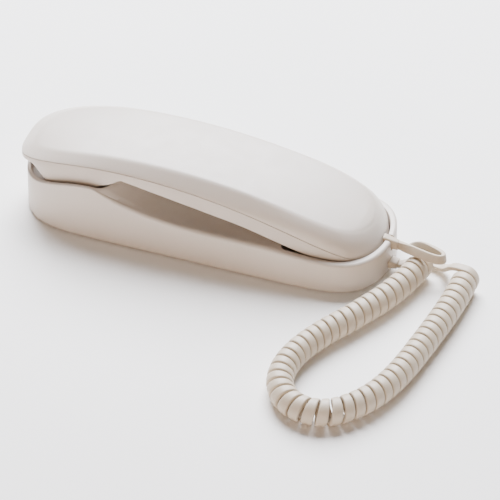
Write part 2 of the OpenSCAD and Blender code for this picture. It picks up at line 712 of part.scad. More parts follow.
hs_seat_h = 3.6;
hs_screw_spots = [[hs_x0 + 21.5, 13, ear_boss_z], [hs_x0 + 21.5, -13, ear_boss_z],
    [hs_x1 - 12, 13, mouth_boss_z], [hs_x1 - 12, -13, mouth_boss_z]];
receiver_d = 30;
receiver_gap = 5;
capsule_t = 4;
magnet_d = 18;
magnet_t = 4;
receiver_at = [ear_boss[1] - receiver_d / 2 - receiver_gap, 0];
mic_at = [hs_x1 - 17, 0];
mic_d = 9.7;
hole_d = 1.6;
module handset_front_shell() {
    color(abs_white)
    difference() {
        union() {
            difference() {
                front_body();
                front_hollow();
            }
            seam_lip();
            for (p = hs_screw_spots)
                translate([p[0], p[1], p[2] + 0.5]) cylinder(d = seat_d, h = hs_seat_h - 0.5);
            for (x = board_posts, y = [-post_y, post_y])
                on_face(x, y) translate([0, 0, hs_wall - 0.5]) cylinder(d = post_d, h = membrane_z - hs_wall + 0.5);
        }
        for (p = hs_screw_spots)
            translate([p[0], p[1], p[2] - 1]) {
                cylinder(d = screw_hole, h = 9);
                cylinder(d = screw_head_d + 0.6, h = 1 + head_sunk);
            }
        // Sound holes: a centre hole and two rings over the receiver, three over the microphone
        translate([receiver_at[0], receiver_at[1], ear_boss_z - 1]) {
            cylinder(d = hole_d, h = 5, $fn = 16);
            for (r = [4, 8], k = [0:(r == 4 ? 5 : 11)])
                rotate(360 * k / (r == 4 ? 6 : 12)) translate([r, 0, 0]) cylinder(d = hole_d, h = 5, $fn = 16);
        }
        for (y = [-3, 0, 3])
            translate([mic_at[0], y, mouth_boss_z - 1]) cylinder(d = hole_d, h = 5, $fn = 16);
        for (k = key_spots)
            on_face(k[0], k[1]) translate([0, 0, -1])
                linear_extrude(hs_wall + 4)
                    square([k[2] + 2 * key_gap, k[3] + 2 * key_gap], center = true);
        relief_hole();
    }
}

// ---- Keypad: everything is placed on the sloping inner face, with Z pointing into the handset ----
module on_face(u, v) {
    translate([u, v, face_z(u)]) rotate([0, face_tilt, 0]) children();
}
module key_cap(i) {
    k = key_spots[i];
    color(key_grey)
    on_face(k[0], k[1]) {
        translate([0, 0, -key_proud]) linear_extrude(key_proud + key_flange_z + eps) rounded(k[2], k[3], key_r);
        translate([0, 0, key_flange_z])
            linear_extrude(key_flange_t) square([k[2] + 2 * key_flange, k[3] + 2 * key_flange], center = true);
    }
}
module keypad_membrane() {
    color(foam_grey)
    on_face(pad_x0, 0) translate([0, -pad_w / 2, membrane_z]) cube([pad_l, pad_w, membrane_t]);
}
module handset_board() {
    color(pcb_green)
    on_face(pad_x0, 0) translate([1, -pad_w / 2 - 0.5, membrane_z + membrane_t + eps])
        cube([pcb_l, pad_w + 1, board_t]);
}
module receiver_capsule() {
    color(black_part)
    translate([receiver_at[0], receiver_at[1], ear_boss_z + hs_wall + gasket_t + 2 * eps]) {
        cylinder(d = receiver_d, h = capsule_t);
        cylinder(d = magnet_d, h = capsule_t + magnet_t);
    }
}
gasket_t = 1.5;
gasket_ring = 4;
module receiver_gasket() {
    color(foam_grey)
    translate([receiver_at[0], receiver_at[1], ear_boss_z + hs_wall + eps])
        difference() {
            cylinder(d = receiver_d - 1, h = gasket_t);
            translate([0, 0, -1]) cylinder(d = receiver_d - 1 - 2 * gasket_ring, h = gasket_t + 2);
        }
}
boot_wall = 1.4;
boot_lip = 0.5;
mic_h = 5;
module microphone() {
    color(steel)
    translate([mic_at[0], mic_at[1], mouth_boss_z + hs_wall + boot_wall + 0.1]) cylinder(d = mic_d, h = mic_h);
}
module mic_boot() {
    color(rubber_grey)
    translate([mic_at[0], mic_at[1], mouth_boss_z + hs_wall + eps])
        difference() {
            cylinder(d = mic_d + 2 * boot_wall, h = mic_h + boot_lip);
            translate([0, 0, boot_wall]) cylinder(d = mic_d + 2 * run_gap, h = mic_h + boot_lip);
            translate([0, 0, -1]) cylinder(d = mic_d - 2 * boot_wall - 0.2, h = boot_wall + 2);
        }
}
module handset_screws() {
    color(steel)
    for (p = hs_screw_spots)
        translate([p[0], p[1], p[2] + head_sunk - screw_head_t]) pan_screw(hs_screw_l);
}
module handset_relief() {
    color(abs_white)
    translate([0, 0, hs_exit_z])
        rotate([0, 90, 0]) {
            translate([0, 0, hs_x1 - 7]) relief_block(relief_h + 2, relief_w + 3, 1.5);
            translate([0, 0, hs_x1 - 7]) relief_block(relief_h, relief_w, 7);
            translate([0, 0, hs_x1 - eps])
                relief_taper(relief_h, relief_w, cord_w + 0.3, cord_t + 1, relief_end_x - hs_x1, relief_droop);
        }
}

// ---- Cord ----
function unit(v) = v / norm(v);
// Point and direction at u, counted in points, on a smooth curve through the points
function pick(p, i) = p[max(0, min(len(p) - 1, i))];
function curve_at(p, u) =
    let(i = min(len(p) - 2, floor(u)), t = u - i,
        a = pick(p, i), b = pick(p, i + 1),
        ma = i == 0 ? b - a : (b - pick(p, i - 1)) / 2,
        mb = i == len(p) - 2 ? b - a : (pick(p, i + 2) - a) / 2)
    (2 * t * t * t - 3 * t * t + 1) * a + (t * t * t - 2 * t * t + t) * ma
    + (3 * t * t - 2 * t * t * t) * b + (t * t * t - t * t) * mb;

// A flat ribbon swept along centre points. side: the ribbon's width direction at each point.
// edge: the section's corners as shares of its width and thickness.
module ribbon(path, side, widths, edge) {
    last = len(path) - 1;
    n = len(edge);
    rings = [for (i = [0:last])
        let(d = heading(path, i), s = unit(side[i] - d * (side[i] * d)), h = cross(d, s))
        each [for (e = edge) path[i] + s * (widths[i] * e[0]) + h * (cord_t * e[1])]];
    walls = [for (i = [0:last - 1]) for (k = [0:n - 1])
        let(a = i * n + k, b = i * n + (k + 1) % n) each [[a, a + n, b + n], [a, b + n, b]]];
    caps = concat([for (k = [1:n - 2]) [0, k, k + 1]],
        [for (k = [1:n - 2]) [last * n, last * n + k + 1, last * n + k]]);
    polyhedron(rings, concat(walls, caps), convexity = 10);
}
function heading(path, i) = unit(pick(path, i + 1) - pick(path, i - 1));
edge_6 = [[-0.5, 0], [-0.26, -0.5], [0.26, -0.5], [0.5, 0], [0.26, 0.5], [-0.26, 0.5]];
edge_8 = [[-0.5, -0.2], [-0.3, -0.5], [0.3, -0.5], [0.5, -0.2], [0.5, 0.2], [0.3, 0.5], [-0.3, 0.5], [-0.5, 0.2]];

// Width directions along a path that turn no more than the path does, then an even twist to the last one
function turn(v, d, a) = v * cos(a) + cross(d, v) * sin(a) + d * (d * v) * (1 - cos(a));
function carried(path, s0) = [for (i = 0, s = s0; i < len(path);
    i = i + 1, s = i < len(path) ? unit(s - heading(path, i) * (s * heading(path, i))) : s) s];
function half_turn(a) = a > 90 ? a - 180 : a < -90 ? a + 180 : a;
function sides_between(path, s0, s1) =
    let(s = carried(path, s0), last = len(path) - 1, d = heading(path, last),
        a = half_turn(atan2(cross(s[last], s1) * d, s[last] * s1)))
    [for (i = [0:last]) turn(s[i], heading(path, i), a * pow(i / last, lead_twist))];

// Route of the lead from the handset, over the first curls and back round to them
lead_points = [[105.8, -0.3, 15.1], [108, -1.6, 15.7], [111.4, -3.2, 16.3], [115.4, -4.4, 16.5], [119.2, -5.4, 16.5],
    [123, -6.2, 16.5], [127, -6.2, 16.2], [129.4, -4.6, 15.8], [129.4, -2, 15.4], [126.8, 0.2, 15], [121.6, 2.6, 14.4],
    [117, 4.4, 13.8], [113.6, 5, 13.2], [110.6, 4.2, 12.7], [108.6, 2.2, 12.3]];
lead_rings = 48;
lead_straight = 0.8;
lead_twist = 2.5;
// Route of the lead from the cradle, behind the first curls and up over the last
tail_points = [[107.4, -2.2, 4.9], [109.6, 0.2, 4.3], [111.6, 3.2, 3.5], [115, 5.4, 2.9], [120, 5.8, 2.6],
    [124.6, 4.8, 2.7], [128.4, 3, 4.1], [131, 0, 7], [133.2, -2.4, 10]];
tail_rings = 44;
// Route of the curls' axis on the table
coil_points = [[117, -1.4], [115.1, -11.4], [112.5, -21], [107.5, -34.5], [101.5, -46.5], [95.5, -57.5], [88.5, -69.5],
    [82.8, -81.5], [79, -93.5], [78, -106], [80.8, -117.5], [88.4, -126.6], [99.5, -130.6], [110.8, -128], [120, -119.5],
    [127, -108.5], [132, -95], [135.3, -80], [137.5, -65], [139.5, -50], [141.2, -35], [142.3, -20], [142.6, -4.6]];

// Curls: a left-handed helix round an axis on the table, with a straight run at each end
curl_r = (curl_d - cord_t) / 2;
curl_rings = 8;
curl_first = -5;
curl_last = 370;
axis_n = 16 * (len(coil_points) - 1);
axis = [for (i = [0:axis_n]) let(p = curve_at(coil_points, i / 16)) [p[0], p[1], curl_d / 2]];
curl_spread = 0.4;
// Turns gather less where the axis bends, so that they stay apart on the inside
function bend_at(i) = let(a = heading(axis, max(1, i - 4)), b = heading(axis, min(axis_n - 1, i + 4)))
    acos(min(1, a * b)) / norm(pick(axis, i + 4) - pick(axis, i - 4)) * PI / 180;
axis_steps = [for (i = [0:axis_n - 1]) norm(axis[i + 1] - axis[i]) / (1 + curl_spread * curl_d * bend_at(i))];
axis_sum = [for (i = 0, s = 0; i <= axis_n; s = s + (i < axis_n ? axis_steps[i] : 0), i = i + 1) s];
axis_table = [for (i = [0:axis_n]) [axis_sum[i], i]];
curl_end_run = cord_w;
curl_angle = 360 * (curls - 1) + curl_last - curl_first;
curl_n = round(curl_angle / 360 * curl_rings);
function curl_point(k) =
    let(t = k / curl_n, u = lookup(t * axis_sum[axis_n], axis_table),
        i = min(axis_n - 1, floor(u)), c = mix(axis[i], axis[i + 1], u - i),
        d = heading(axis, i), left = cross([0, 0, 1], d), a = curl_first + curl_angle * t)
    [c + curl_r * (cos(a) * [0, 0, 1] + sin(a) * left), d];
curl_run = [for (k = [0:curl_n]) curl_point(k)];
curl_in = unit(curl_run[0][0] - curl_point(0.4)[0]);
curl_out = unit(curl_run[curl_n][0] - curl_point(curl_n - 0.4)[0]);
curl_path = concat([curl_run[0][0] + curl_in * curl_end_run], [for (c = curl_run) c[0]],
    [curl_run[curl_n][0] + curl_out * curl_end_run]);
curl_side = concat([curl_run[0][1]], [for (c = curl_run) c[1]], [curl_run[curl_n][1]]);
curl_widths = [for (i = [0:curl_n + 2])
    mix(cord_w, curl_w, ease((min(i, curl_n + 2 - i) - 1) / curl_rings))];

// Least gap between a ribbon's surface and its own next turns, measured on points of its edges
function curl_edge(i, e) = let(d = heading(curl_path, i), s = unit(curl_side[i] - d * (curl_side[i] * d)))
    curl_path[i] + s * e * curl_widths[i] / 2;
curl_gap = min([for (i = [curl_rings:curl_n - curl_rings]) min([for (j = [i + curl_rings - 2:i + curl_rings + 1])
    let(p = curl_edge(i, 1), a = curl_edge(j, -1), b = curl_edge(j + 1, -1), ab = b - a)
    norm(p - a - ab * clamp01((p - a) * ab / (ab * ab)))])]);
echo(least_gap_between_curls = curl_gap);
function len_of(p) = sum_of([for (i = [1:len(p) - 1]) norm(p[i] - p[i - 1])]);
function sum_of(v) = v * [for (x = v) 1];

function spread(points, n) = [for (i = [0:n]) curve_at(points, (len(points) - 1) * i / n)];
// A lead runs straight for a little way at each end
function lead_run(start, points, end, away, n) = concat([start],
    spread(concat([start + [lead_straight, 0, 0]], points, [end + away * 3 * lead_straight, end + away * lead_straight]),
        n - 2), [end]);
lead_path = lead_run([relief_end_x, 0, hs_exit_z - relief_droop], lead_points, curl_path[0], curl_in, lead_rings);
tail_path = lead_run([base_exit[0] + base_relief_l, base_exit[1], base_exit[2]], tail_points,
    curl_path[curl_n + 2], curl_out, tail_rings);
lead_side = sides_between(lead_path, [0, 0, 1], curl_side[0]);
tail_side = sides_between(tail_path, [0, 1, 0], curl_side[curl_n]);
echo(curled_length = len_of(curl_path), lead_length = len_of(lead_path), tail_length = len_of(tail_path));

module cord_handset_lead() {
    color(cord_cream) ribbon(lead_path, lead_side, [for (p = lead_path) cord_w], edge_8);
}
module cord_curls() {
    color(cord_cream) ribbon(curl_path, curl_side, curl_widths, edge_6);
}
module cord_cradle_lead() {
    color(cord_cream) ribbon(tail_path, tail_side, [for (p = tail_path) cord_w], edge_8);
}

cradle_shell();
back_plate();
rubber_feet();
cradle_screws();
base_board();
ringer_sounder();
hook_plunger();
hook_spring();
hook_switch();
line_jack();
line_contacts();
ringer_switch();
ringer_knob();
cradle_relief();
handset_back_shell();
handset_front_shell();
handset_screws();
handset_board();
keypad_membrane();
for (i = [0:len(key_names) - 1]) key_cap(i);
receiver_capsule();
receiver_gasket();
microphone();
mic_boot();
handset_relief();
cord_handset_lead();
cord_curls();
cord_cradle_lead();
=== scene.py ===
"""Slimline wall telephone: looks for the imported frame, in metres, in the frame's own axes.

The telephone lies on its back: +X runs to its mouth end, +Z out of the wall. The shells, the keys
and the cord are made here, finer than the solids they stand for. What is hidden keeps its solid and
gets a material.
"""
import json
import logging
import math
from dataclasses import dataclass, field
from enum import Enum
from typing import Callable, Iterable, Sequence

import bmesh
import bpy
import numpy as np
from mathutils import Matrix, Vector


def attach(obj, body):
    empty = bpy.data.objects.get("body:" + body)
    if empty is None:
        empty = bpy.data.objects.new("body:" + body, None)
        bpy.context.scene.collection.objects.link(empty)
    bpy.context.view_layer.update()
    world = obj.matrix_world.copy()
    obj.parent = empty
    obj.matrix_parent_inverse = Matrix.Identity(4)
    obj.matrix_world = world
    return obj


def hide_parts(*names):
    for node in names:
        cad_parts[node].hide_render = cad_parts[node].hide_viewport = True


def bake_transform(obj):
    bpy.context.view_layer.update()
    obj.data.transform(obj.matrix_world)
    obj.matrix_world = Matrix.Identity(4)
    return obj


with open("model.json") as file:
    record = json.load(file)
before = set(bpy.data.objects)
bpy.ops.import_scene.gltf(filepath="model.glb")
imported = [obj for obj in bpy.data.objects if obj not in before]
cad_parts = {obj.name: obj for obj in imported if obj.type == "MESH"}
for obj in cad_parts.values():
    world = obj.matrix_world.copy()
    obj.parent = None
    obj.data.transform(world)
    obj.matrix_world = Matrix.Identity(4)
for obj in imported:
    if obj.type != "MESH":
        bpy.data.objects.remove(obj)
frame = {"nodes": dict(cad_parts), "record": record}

log = logging.getLogger("telephone")
MM = 0.001
Flat = tuple[float, float]
Point = tuple[float, float, float]
Box = tuple[Point, Point]
Row = list[Point]
Face = tuple[int, ...]


# ---------------------------------------------------------------- numbers and curves
def clamp01(t: float) -> float:
    """Limits t to 0..1."""
    return max(0.0, min(1.0, t))


def ease(t: float) -> float:
    """Smooth step from 0 to 1."""
    t = clamp01(t)
    return t * t * (3 - 2 * t)


def mix(a: float, b: float, t: float) -> float:
    """Value between a and b at share t."""
    return a + (b - a) * t


def dome(t: float) -> float:
    """Height of a unit circle at a distance t from its middle."""
    return math.sqrt(max(0.0, 1 - t * t))


def quarter(count: int) -> np.ndarray:
    """Angles over a quarter turn, in radians."""
    return np.radians(np.linspace(0, 90, count))


def stations(x0: float, x1: float, count: int) -> list[float]:
    """Places from x0 to x1 in count steps that shrink towards both ends."""
    mid, reach = (x0 + x1) / 2, (x1 - x0) / 2
    return [mid + reach * math.sin(math.pi * (i / count - 0.5)) for i in range(count + 1)]


def spline(points: Sequence[Sequence[float]], u: float) -> np.ndarray:
    """Finds a point on the smooth curve through a list of points."""
    last = len(points) - 1
    i = min(last - 1, int(u))
    t = u - i
    a, b = np.array(points[i], float), np.array(points[i + 1], float)
    before = b - a if i == 0 else (b - np.array(points[i - 1], float)) / 2
    after = b - a if i == last - 1 else (np.array(points[i + 2], float) - a) / 2
    return ((2 * t**3 - 3 * t**2 + 1) * a + (t**3 - 2 * t**2 + t) * before
            + (3 * t**2 - 2 * t**3) * b + (t**3 - t**2) * after)


def directions(path: np.ndarray) -> np.ndarray:
    """Unit direction of a path at each of its points."""
    turned = np.gradient(path, axis=0)
    return turned / np.linalg.norm(turned, axis=1)[:, None]


def travelled(path: np.ndarray) -> np.ndarray:
    """Length of a path up to each of its points."""
    return np.concatenate([[0], np.cumsum(np.linalg.norm(np.diff(path, axis=0), axis=1))])


# ---------------------------------------------------------------- shapes of the two halves
@dataclass(frozen=True)
class Oval:
    """Blunt oval plan that widens towards the mouth end, in millimetres."""

    x0: float
    x1: float
    width: float
    along: float
    across: float
    flare: float
    flare_mid: float

    def half(self, x: float, off: float = 0.0) -> float:
        """Finds the half width of the outline."""
        mid, length = (self.x0 + self.x1) / 2, (self.x1 - self.x0) / 2 - off
        share = max(0.0, 1 - min(1.0, abs(x - mid) / length) ** self.along)
        flare = 1 + self.flare * (x - self.flare_mid) / 100
        return (self.width / 2 - off) * share ** (1 / self.across) * flare

    def row(self, off: float, height: Callable[[float], float], count: int) -> Row:
        """Half outline from one tip to the other, at a height that follows x."""
        return [(x, self.half(x, off), height(x))
                for x in stations(self.x0 + off, self.x1 - off, count)]


@dataclass(frozen=True)
class CradleForm:
    """The cradle's plan, rim, deck and pockets, in millimetres."""

    plan: Oval = Oval(-99, 101, 65, 8.8, 1.9, 0.045, 1)
    wall: float = 2.2
    foot_z: float = 0.6
    # Heights of the rim, and where they are reached
    ear_rim: float = 24.3
    ear_flat: float = 3.0
    arch_rim: float = 33.5
    arch_power: float = 1.5
    scoop_rim: float = 21.3
    mouth_rim: float = 18.4
    arch_x: float = -53.0
    scoop_x: float = 25.0
    heel_x: float = 36.0
    mouth_x: float = 86.0
    # The deck's ridge, which bulges past the arch, and its dished scoop
    bulge: float = 14.0
    dish: float = 1.2
    dish_run: float = 20.0
    crease_round: float = 1.3
    # Radius of the rim's edge, from the ear end to the mouth end
    ear_round: float = 0.9
    side_round: float = 2.2
    side_round_run: float = 18.0
    mouth_round: float = 1.7
    mouth_round_run: float = 30.0
    # The two pockets
    ear_floor: float = 17.0
    ear_knee: float = 2.0
    ear_rim_w: float = 2.0
    mouth_floor: float = 8.0
    mouth_set: float = 10.0
    mouth_knee: float = 6.0
    mouth_rim_w: float = 3.3
    ridge_wall: float = 1.8

    def rim(self, x: float) -> float:
        """Finds the height of the rim, which arches at the ear pocket and dips at the scoop."""
        if x < self.arch_x:
            start = self.plan.x0 + self.ear_flat
            share = math.sin(math.pi / 2 * clamp01((x - start) / (self.arch_x - start)))
            return mix(self.ear_rim, self.arch_rim, share**self.arch_power)
        if x < self.scoop_x:
            share = (self.scoop_x - x) / (self.scoop_x - self.arch_x)
            return mix(self.scoop_rim, self.arch_rim, share**3)
        share = (x - self.heel_x) / (self.mouth_x - self.heel_x)
        return mix(self.scoop_rim, self.mouth_rim, ease(share))

    def rim_radius(self, x: float) -> float:
        """Radius of the rim's rounded outer edge at x."""
        side = mix(self.ear_round, self.side_round, ease((x - self.arch_x) / self.side_round_run))
        return mix(side, self.mouth_round, ease((x - self.heel_x) / self.mouth_round_run))

    def deck_sharp(self, x: float, t: float) -> float:
        """Finds the height of the deck, whose ridge bulges towards the scoop."""
        top = self.arch_x + self.bulge * dome(t)
        if x < self.arch_x or x > self.scoop_x:
            along = x
        elif x < top:
            along = self.arch_x
        else:
            along = mix(self.arch_x, self.scoop_x, (x - top) / (self.scoop_x - top))
        run = ease((x - top) / self.dish_run) * ease((self.heel_x - x) / self.dish_run)
        return self.rim(along) - self.dish * (1 - t * t) * run

    def deck(self, x: float, t: float) -> float:
        """Finds the height of the deck with its creases rounded."""
        steps = (-1, -0.6, -0.2, 0.2, 0.6, 1)
        weights = (1, 2, 3, 3, 2, 1)
        heights = (self.deck_sharp(x + s * self.crease_round, t) for s in steps)
        return sum(w * h for w, h in zip(weights, heights)) / sum(weights)

    @property
    def ear_end(self) -> float:
        """Where the ear pocket's inner end meets the middle line."""
        return self.arch_x + self.bulge - self.ridge_wall

    @property
    def mouth_start(self) -> float:
        """Where the mouth pocket's inner end meets the middle line."""
        return self.heel_x + self.mouth_set

    def ear_pocket(self, x: float) -> float:
        """Finds the half width of the ear pocket, whose inner end is round."""
        knee = self.arch_x + self.ear_knee
        if x < knee:
            return self.plan.half(x, self.ear_rim_w)
        return self.plan.half(knee, self.ear_rim_w) * dome((x - knee) / (self.ear_end - knee))

    def mouth_pocket(self, x: float) -> float:
        """Finds the half width of the mouth pocket, whose inner end is round."""
        knee = self.mouth_start + self.mouth_knee
        if x > knee:
            return self.plan.half(x, self.mouth_rim_w)
        return self.plan.half(knee, self.mouth_rim_w) * dome((knee - x) / self.mouth_knee)


@dataclass(frozen=True)
class HandsetForm:
    """The handset's plan, parting line, crown and flat inner face, in millimetres."""

    cradle: CradleForm = CradleForm()
    plan: Oval = Oval(-101, 97, 56.8, 6, 3.25, 0.05, -2)
    pocket_gap: float = 0.7
    wall: float = 2.0
    seam: float = 0.3
    middle_x: float = 1.0
    # The parting line
    peak_x: float = -38.0
    peak_z: float = 44.3
    ear_z: float = 33.8
    mouth_z: float = 14.0
    # The shoulder and the crown above it
    shoulder: float = 6.3
    shoulder_least: float = 2.0
    shoulder_mid: float = 6.95
    shoulder_growth: float = 0.044
    slope_share: float = 0.75
    slope_end: float = 65.0
    slope_run: float = 45.0
    upper_round: Flat = (1.3, 1.9)
    upper_round_x: float = -90.0
    upper_round_run: float = 50.0
    crown: float = 1.2
    crown_full_w: float = 14.0
    # The flat inner face
    face_z: float = 32.6
    face_tilt: float = math.radians(9.6)
    # The lower edge: its drop past the heel, its dip at the ear and its rise at the ear's boss
    band: float = 3.5
    heel_x: float = 29.0
    heel_bend: float = 5.0
    heel_slope: float = 0.11
    heel_drop: float = 4.4
    dip: float = 11.0
    dip_x: Flat = (-92.0, -38.0)
    dip_run: Flat = (14.0, 20.0)
    rise_x: float = -51.0
    rise_run: float = 11.8
    rise_z: float = 33.0
    rise: float = 6.2
    rise_power: float = 1.6

    def half(self, x: float, off: float = 0.0) -> float:
        """Finds the half width of the outline, which follows the mouth pocket at that end."""
        own = self.plan.half(x, off)
        if x < self.middle_x:
            return own
        return min(own, self.cradle.plan.half(x, self.cradle.mouth_rim_w + self.pocket_gap + off))

    def row(self, off: float, height: Callable[[float], float], count: int) -> Row:
        """Half outline from the ear tip to the mouth tip, at a height that follows x."""
        return [(x, self.half(x, off), height(x))
                for x in stations(self.plan.x0 + off, self.plan.x1 - off, count)]

    def part(self, x: float) -> float:
        """Finds the height of the parting line, a parabola on each side of its peak."""
        end_x, end_z = ((self.plan.x0, self.ear_z) if x < self.peak_x
                        else (self.plan.x1, self.mouth_z))
        share = (x - self.peak_x) / (end_x - self.peak_x)
        return self.peak_z - (self.peak_z - end_z) * share**2

    def shoulder_rise(self, x: float) -> float:
        """Height of the shoulder's upper edge above the parting line."""
        grown = self.shoulder_mid + self.shoulder_growth * (x - self.middle_x)
        return max(self.shoulder_least, grown)

    def shoulder_share(self, inset: float, x: float) -> float:
        """Finds how far the shoulder has risen, with its upper edge rounded.

        The shoulder is mostly a plain slope at the ear end and grows round to the mouth end.
        """
        slope = self.slope_share * ease((self.slope_end - x) / self.slope_run)
        arc = math.radians(60)

        def sharp(distance: float) -> float:
            """Finds the share of the rise with a sharp upper edge."""
            share = clamp01(distance / self.shoulder)
            cos = 1 - (1 - math.cos(arc)) * share
            return mix(math.sqrt(1 - cos * cos) / math.sin(arc), share, slope)

        wide = mix(*self.upper_round, ease((x - self.upper_round_x) / self.upper_round_run))
        soft = min(wide, 0.45 * inset)
        steps = np.linspace(-1, 1, 9)
        weights = 1.05 - np.abs(steps)
        shares = [sharp(max(0.0, inset + s * soft)) for s in steps]
        return float(weights @ shares / weights.sum())

    def face(self, x: float) -> float:
        """Height of the flat inner face."""
        return self.face_z - math.tan(self.face_tilt) * (x - self.middle_x)

    def edge(self, x: float) -> float:
        """Finds the height of the front shell's lower edge, which dips into the pockets."""
        past = x - self.heel_x
        drop = self.heel_slope * (math.hypot(past, self.heel_bend) + past) / 2
        dip = (self.dip * ease((x - self.dip_x[0]) / self.dip_run[0])
               * ease((self.dip_x[1] - x) / self.dip_run[1]))
        under = min(self.face(x) - min(self.heel_drop, drop), self.part(x) - self.band) - dip
        if x <= self.rise_x:
            return under
        climb = clamp01((x - self.rise_x) / self.rise_run) ** self.rise_power
        return min(under, self.rise_z + self.rise * climb)

    def on_face(self, x: float, y: float) -> Matrix:
        """Placement on the inner face, in millimetres, with Z pointing into the handset."""
        return Matrix.Translation((x, y, self.face(x))) @ Matrix.Rotation(self.face_tilt, 4, "Y")


# ---------------------------------------------------------------- solids
@dataclass
class Solid:
    """A closed mesh in millimetres that is added to, or cut by, others."""

    points: np.ndarray
    faces: list[Face]

    @classmethod
    def taken(cls, bm: bmesh.types.BMesh) -> "Solid":
        """Takes the solid out of a bmesh and frees it."""
        bm.verts.index_update()
        solid = cls(np.array([v.co for v in bm.verts], float),
                    [tuple(v.index for v in face.verts) for face in bm.faces])
        bm.free()
        return solid

    def moved(self, matrix: Matrix) -> "Solid":
        """The same solid, placed by a matrix."""
        return Solid(np.array([matrix @ Vector(p) for p in self.points]), self.faces)

    def at(self, x: float, y: float, z: float = 0.0) -> "Solid":
        """The same solid, moved by a distance."""
        return Solid(self.points + np.array((x, y, z)), self.faces)


def together(solids: Iterable[Solid]) -> Solid:
    """Makes one solid of several that don't touch."""
    points, faces, base = [], [], 0
    for solid in solids:
        points.append(solid.points)
        faces += [tuple(i + base for i in face) for face in solid.faces]
        base += len(solid.points)
    return Solid(np.vstack(points), faces)


def block(low: Point, high: Point) -> Solid:
    """Makes a box."""
    size, middle = Vector(high) - Vector(low), (Vector(high) + Vector(low)) / 2
    bm = bmesh.new()
    bmesh.ops.create_cube(bm, size=1, matrix=Matrix.LocRotScale(middle, None, size))
    return Solid.taken(bm)


def cylinder(radius: float, z0: float, z1: float, sides: int = 48) -> Solid:
    """Makes an upright cylinder on the origin's axis."""
    bm = bmesh.new()
    bmesh.ops.create_cone(bm, cap_ends=True, segments=sides, radius1=radius, radius2=radius,
                          depth=z1 - z0, matrix=Matrix.Translation((0, 0, (z0 + z1) / 2)))
    return Solid.taken(bm)


def prism(outline: Sequence[Flat], layers: Sequence[Flat]) -> Solid:
    """Raises an outline through layers."""
    bm = bmesh.new()
    z, share = layers[0]
    base = top = bm.faces.new([bm.verts.new((x * share, y * share, z)) for x, y in outline])
    for next_z, next_share in layers[1:]:
        below = top
        raised = bmesh.ops.extrude_face_region(bm, geom=[below])["geom"]
        top = next(item for item in raised if isinstance(item, bmesh.types.BMFace))
        if below is not base:
            bmesh.ops.delete(bm, geom=[below], context="FACES_ONLY")
        scale = next_share / share
        place = Matrix.LocRotScale((0, 0, next_z - z), None, (scale, scale, 1))
        bmesh.ops.transform(bm, matrix=place, verts=list(top.verts))
        z, share = next_z, next_share
    bmesh.ops.recalc_face_normals(bm, faces=bm.faces)
    return Solid.taken(bm)


def rounded_box(length: float, width: float, radius: float, steps: int = 6) -> list[Flat]:
    """Draws a rectangle with rounded corners about the origin."""
    outline = []
    for turn, (sx, sy) in enumerate(((1, 1), (-1, 1), (-1, -1), (1, -1))):
        for k in range(steps + 1):
            a = math.pi / 2 * (turn + k / steps)
            outline.append((sx * (length / 2 - radius) + radius * math.cos(a),
                            sy * (width / 2 - radius) + radius * math.sin(a)))
    return outline


def walls(rings: int, count: int) -> list[Face]:
    """Joins closed rings of points that follow each other."""
    faces = []
    for first in range(0, (rings - 1) * count, count):
        for k in range(count):
            a, b = first + k, first + (k + 1) % count
            faces.append((a, b, b + count, a + count))
    return faces


def tube(rings: np.ndarray) -> Solid:
    """Closes a form through rings of points with a face at each end."""
    number, count = rings.shape[:2]
    last = (number - 1) * count
    first_end, last_end = tuple(range(count))[::-1], tuple(range(last, last + count))
    return Solid(rings.reshape(-1, 3), [first_end, *walls(number, count), last_end])


def loft(rows: Sequence[Row], deck: Callable[[int, float, float], float] | None = None,
         columns: int = 0) -> Solid:
    """Makes a closed form from half outlines that are mirrored about the XZ plane."""
    n = len(rows[0]) - 1
    points: list[Point] = []
    for row in rows:
        points += [(x, -w, z) for x, w, z in row] + row[n - 1:0:-1]
    ring, inner = 2 * n, len(points)
    top = inner - ring
    for i in range(1, n):
        x, w, _ = rows[-1][i]
        for c in range(1, columns + 1):
            y = w * (-1 + 2 * c / (columns + 1))
            points.append((x, y, deck(i, x, y)))

    def corner(i: int, c: int, base: int, cols: int) -> int:
        """Finds a point of the top or the bottom."""
        if i in (0, n):
            return base + i
        if c == 0:
            return base + i
        if c == cols + 1:
            return base + ring - i
        return inner + (i - 1) * cols + c - 1

    def cell(i: int, c: int, base: int, cols: int) -> list[int]:
        """Finds the corners of a face of the top or the bottom."""
        corners = [corner(i, c, base, cols), corner(i + 1, c, base, cols),
                   corner(i + 1, c + 1, base, cols), corner(i, c + 1, base, cols)]
        return list(dict.fromkeys(corners))

    faces = walls(len(rows), ring)
    for i in range(n):
        faces.append(tuple(cell(i, 0, 0, 0)[::-1]))
        faces += [tuple(cell(i, c, top, columns)) for c in range(columns + 1)]
    return Solid(np.array(points, float), faces)


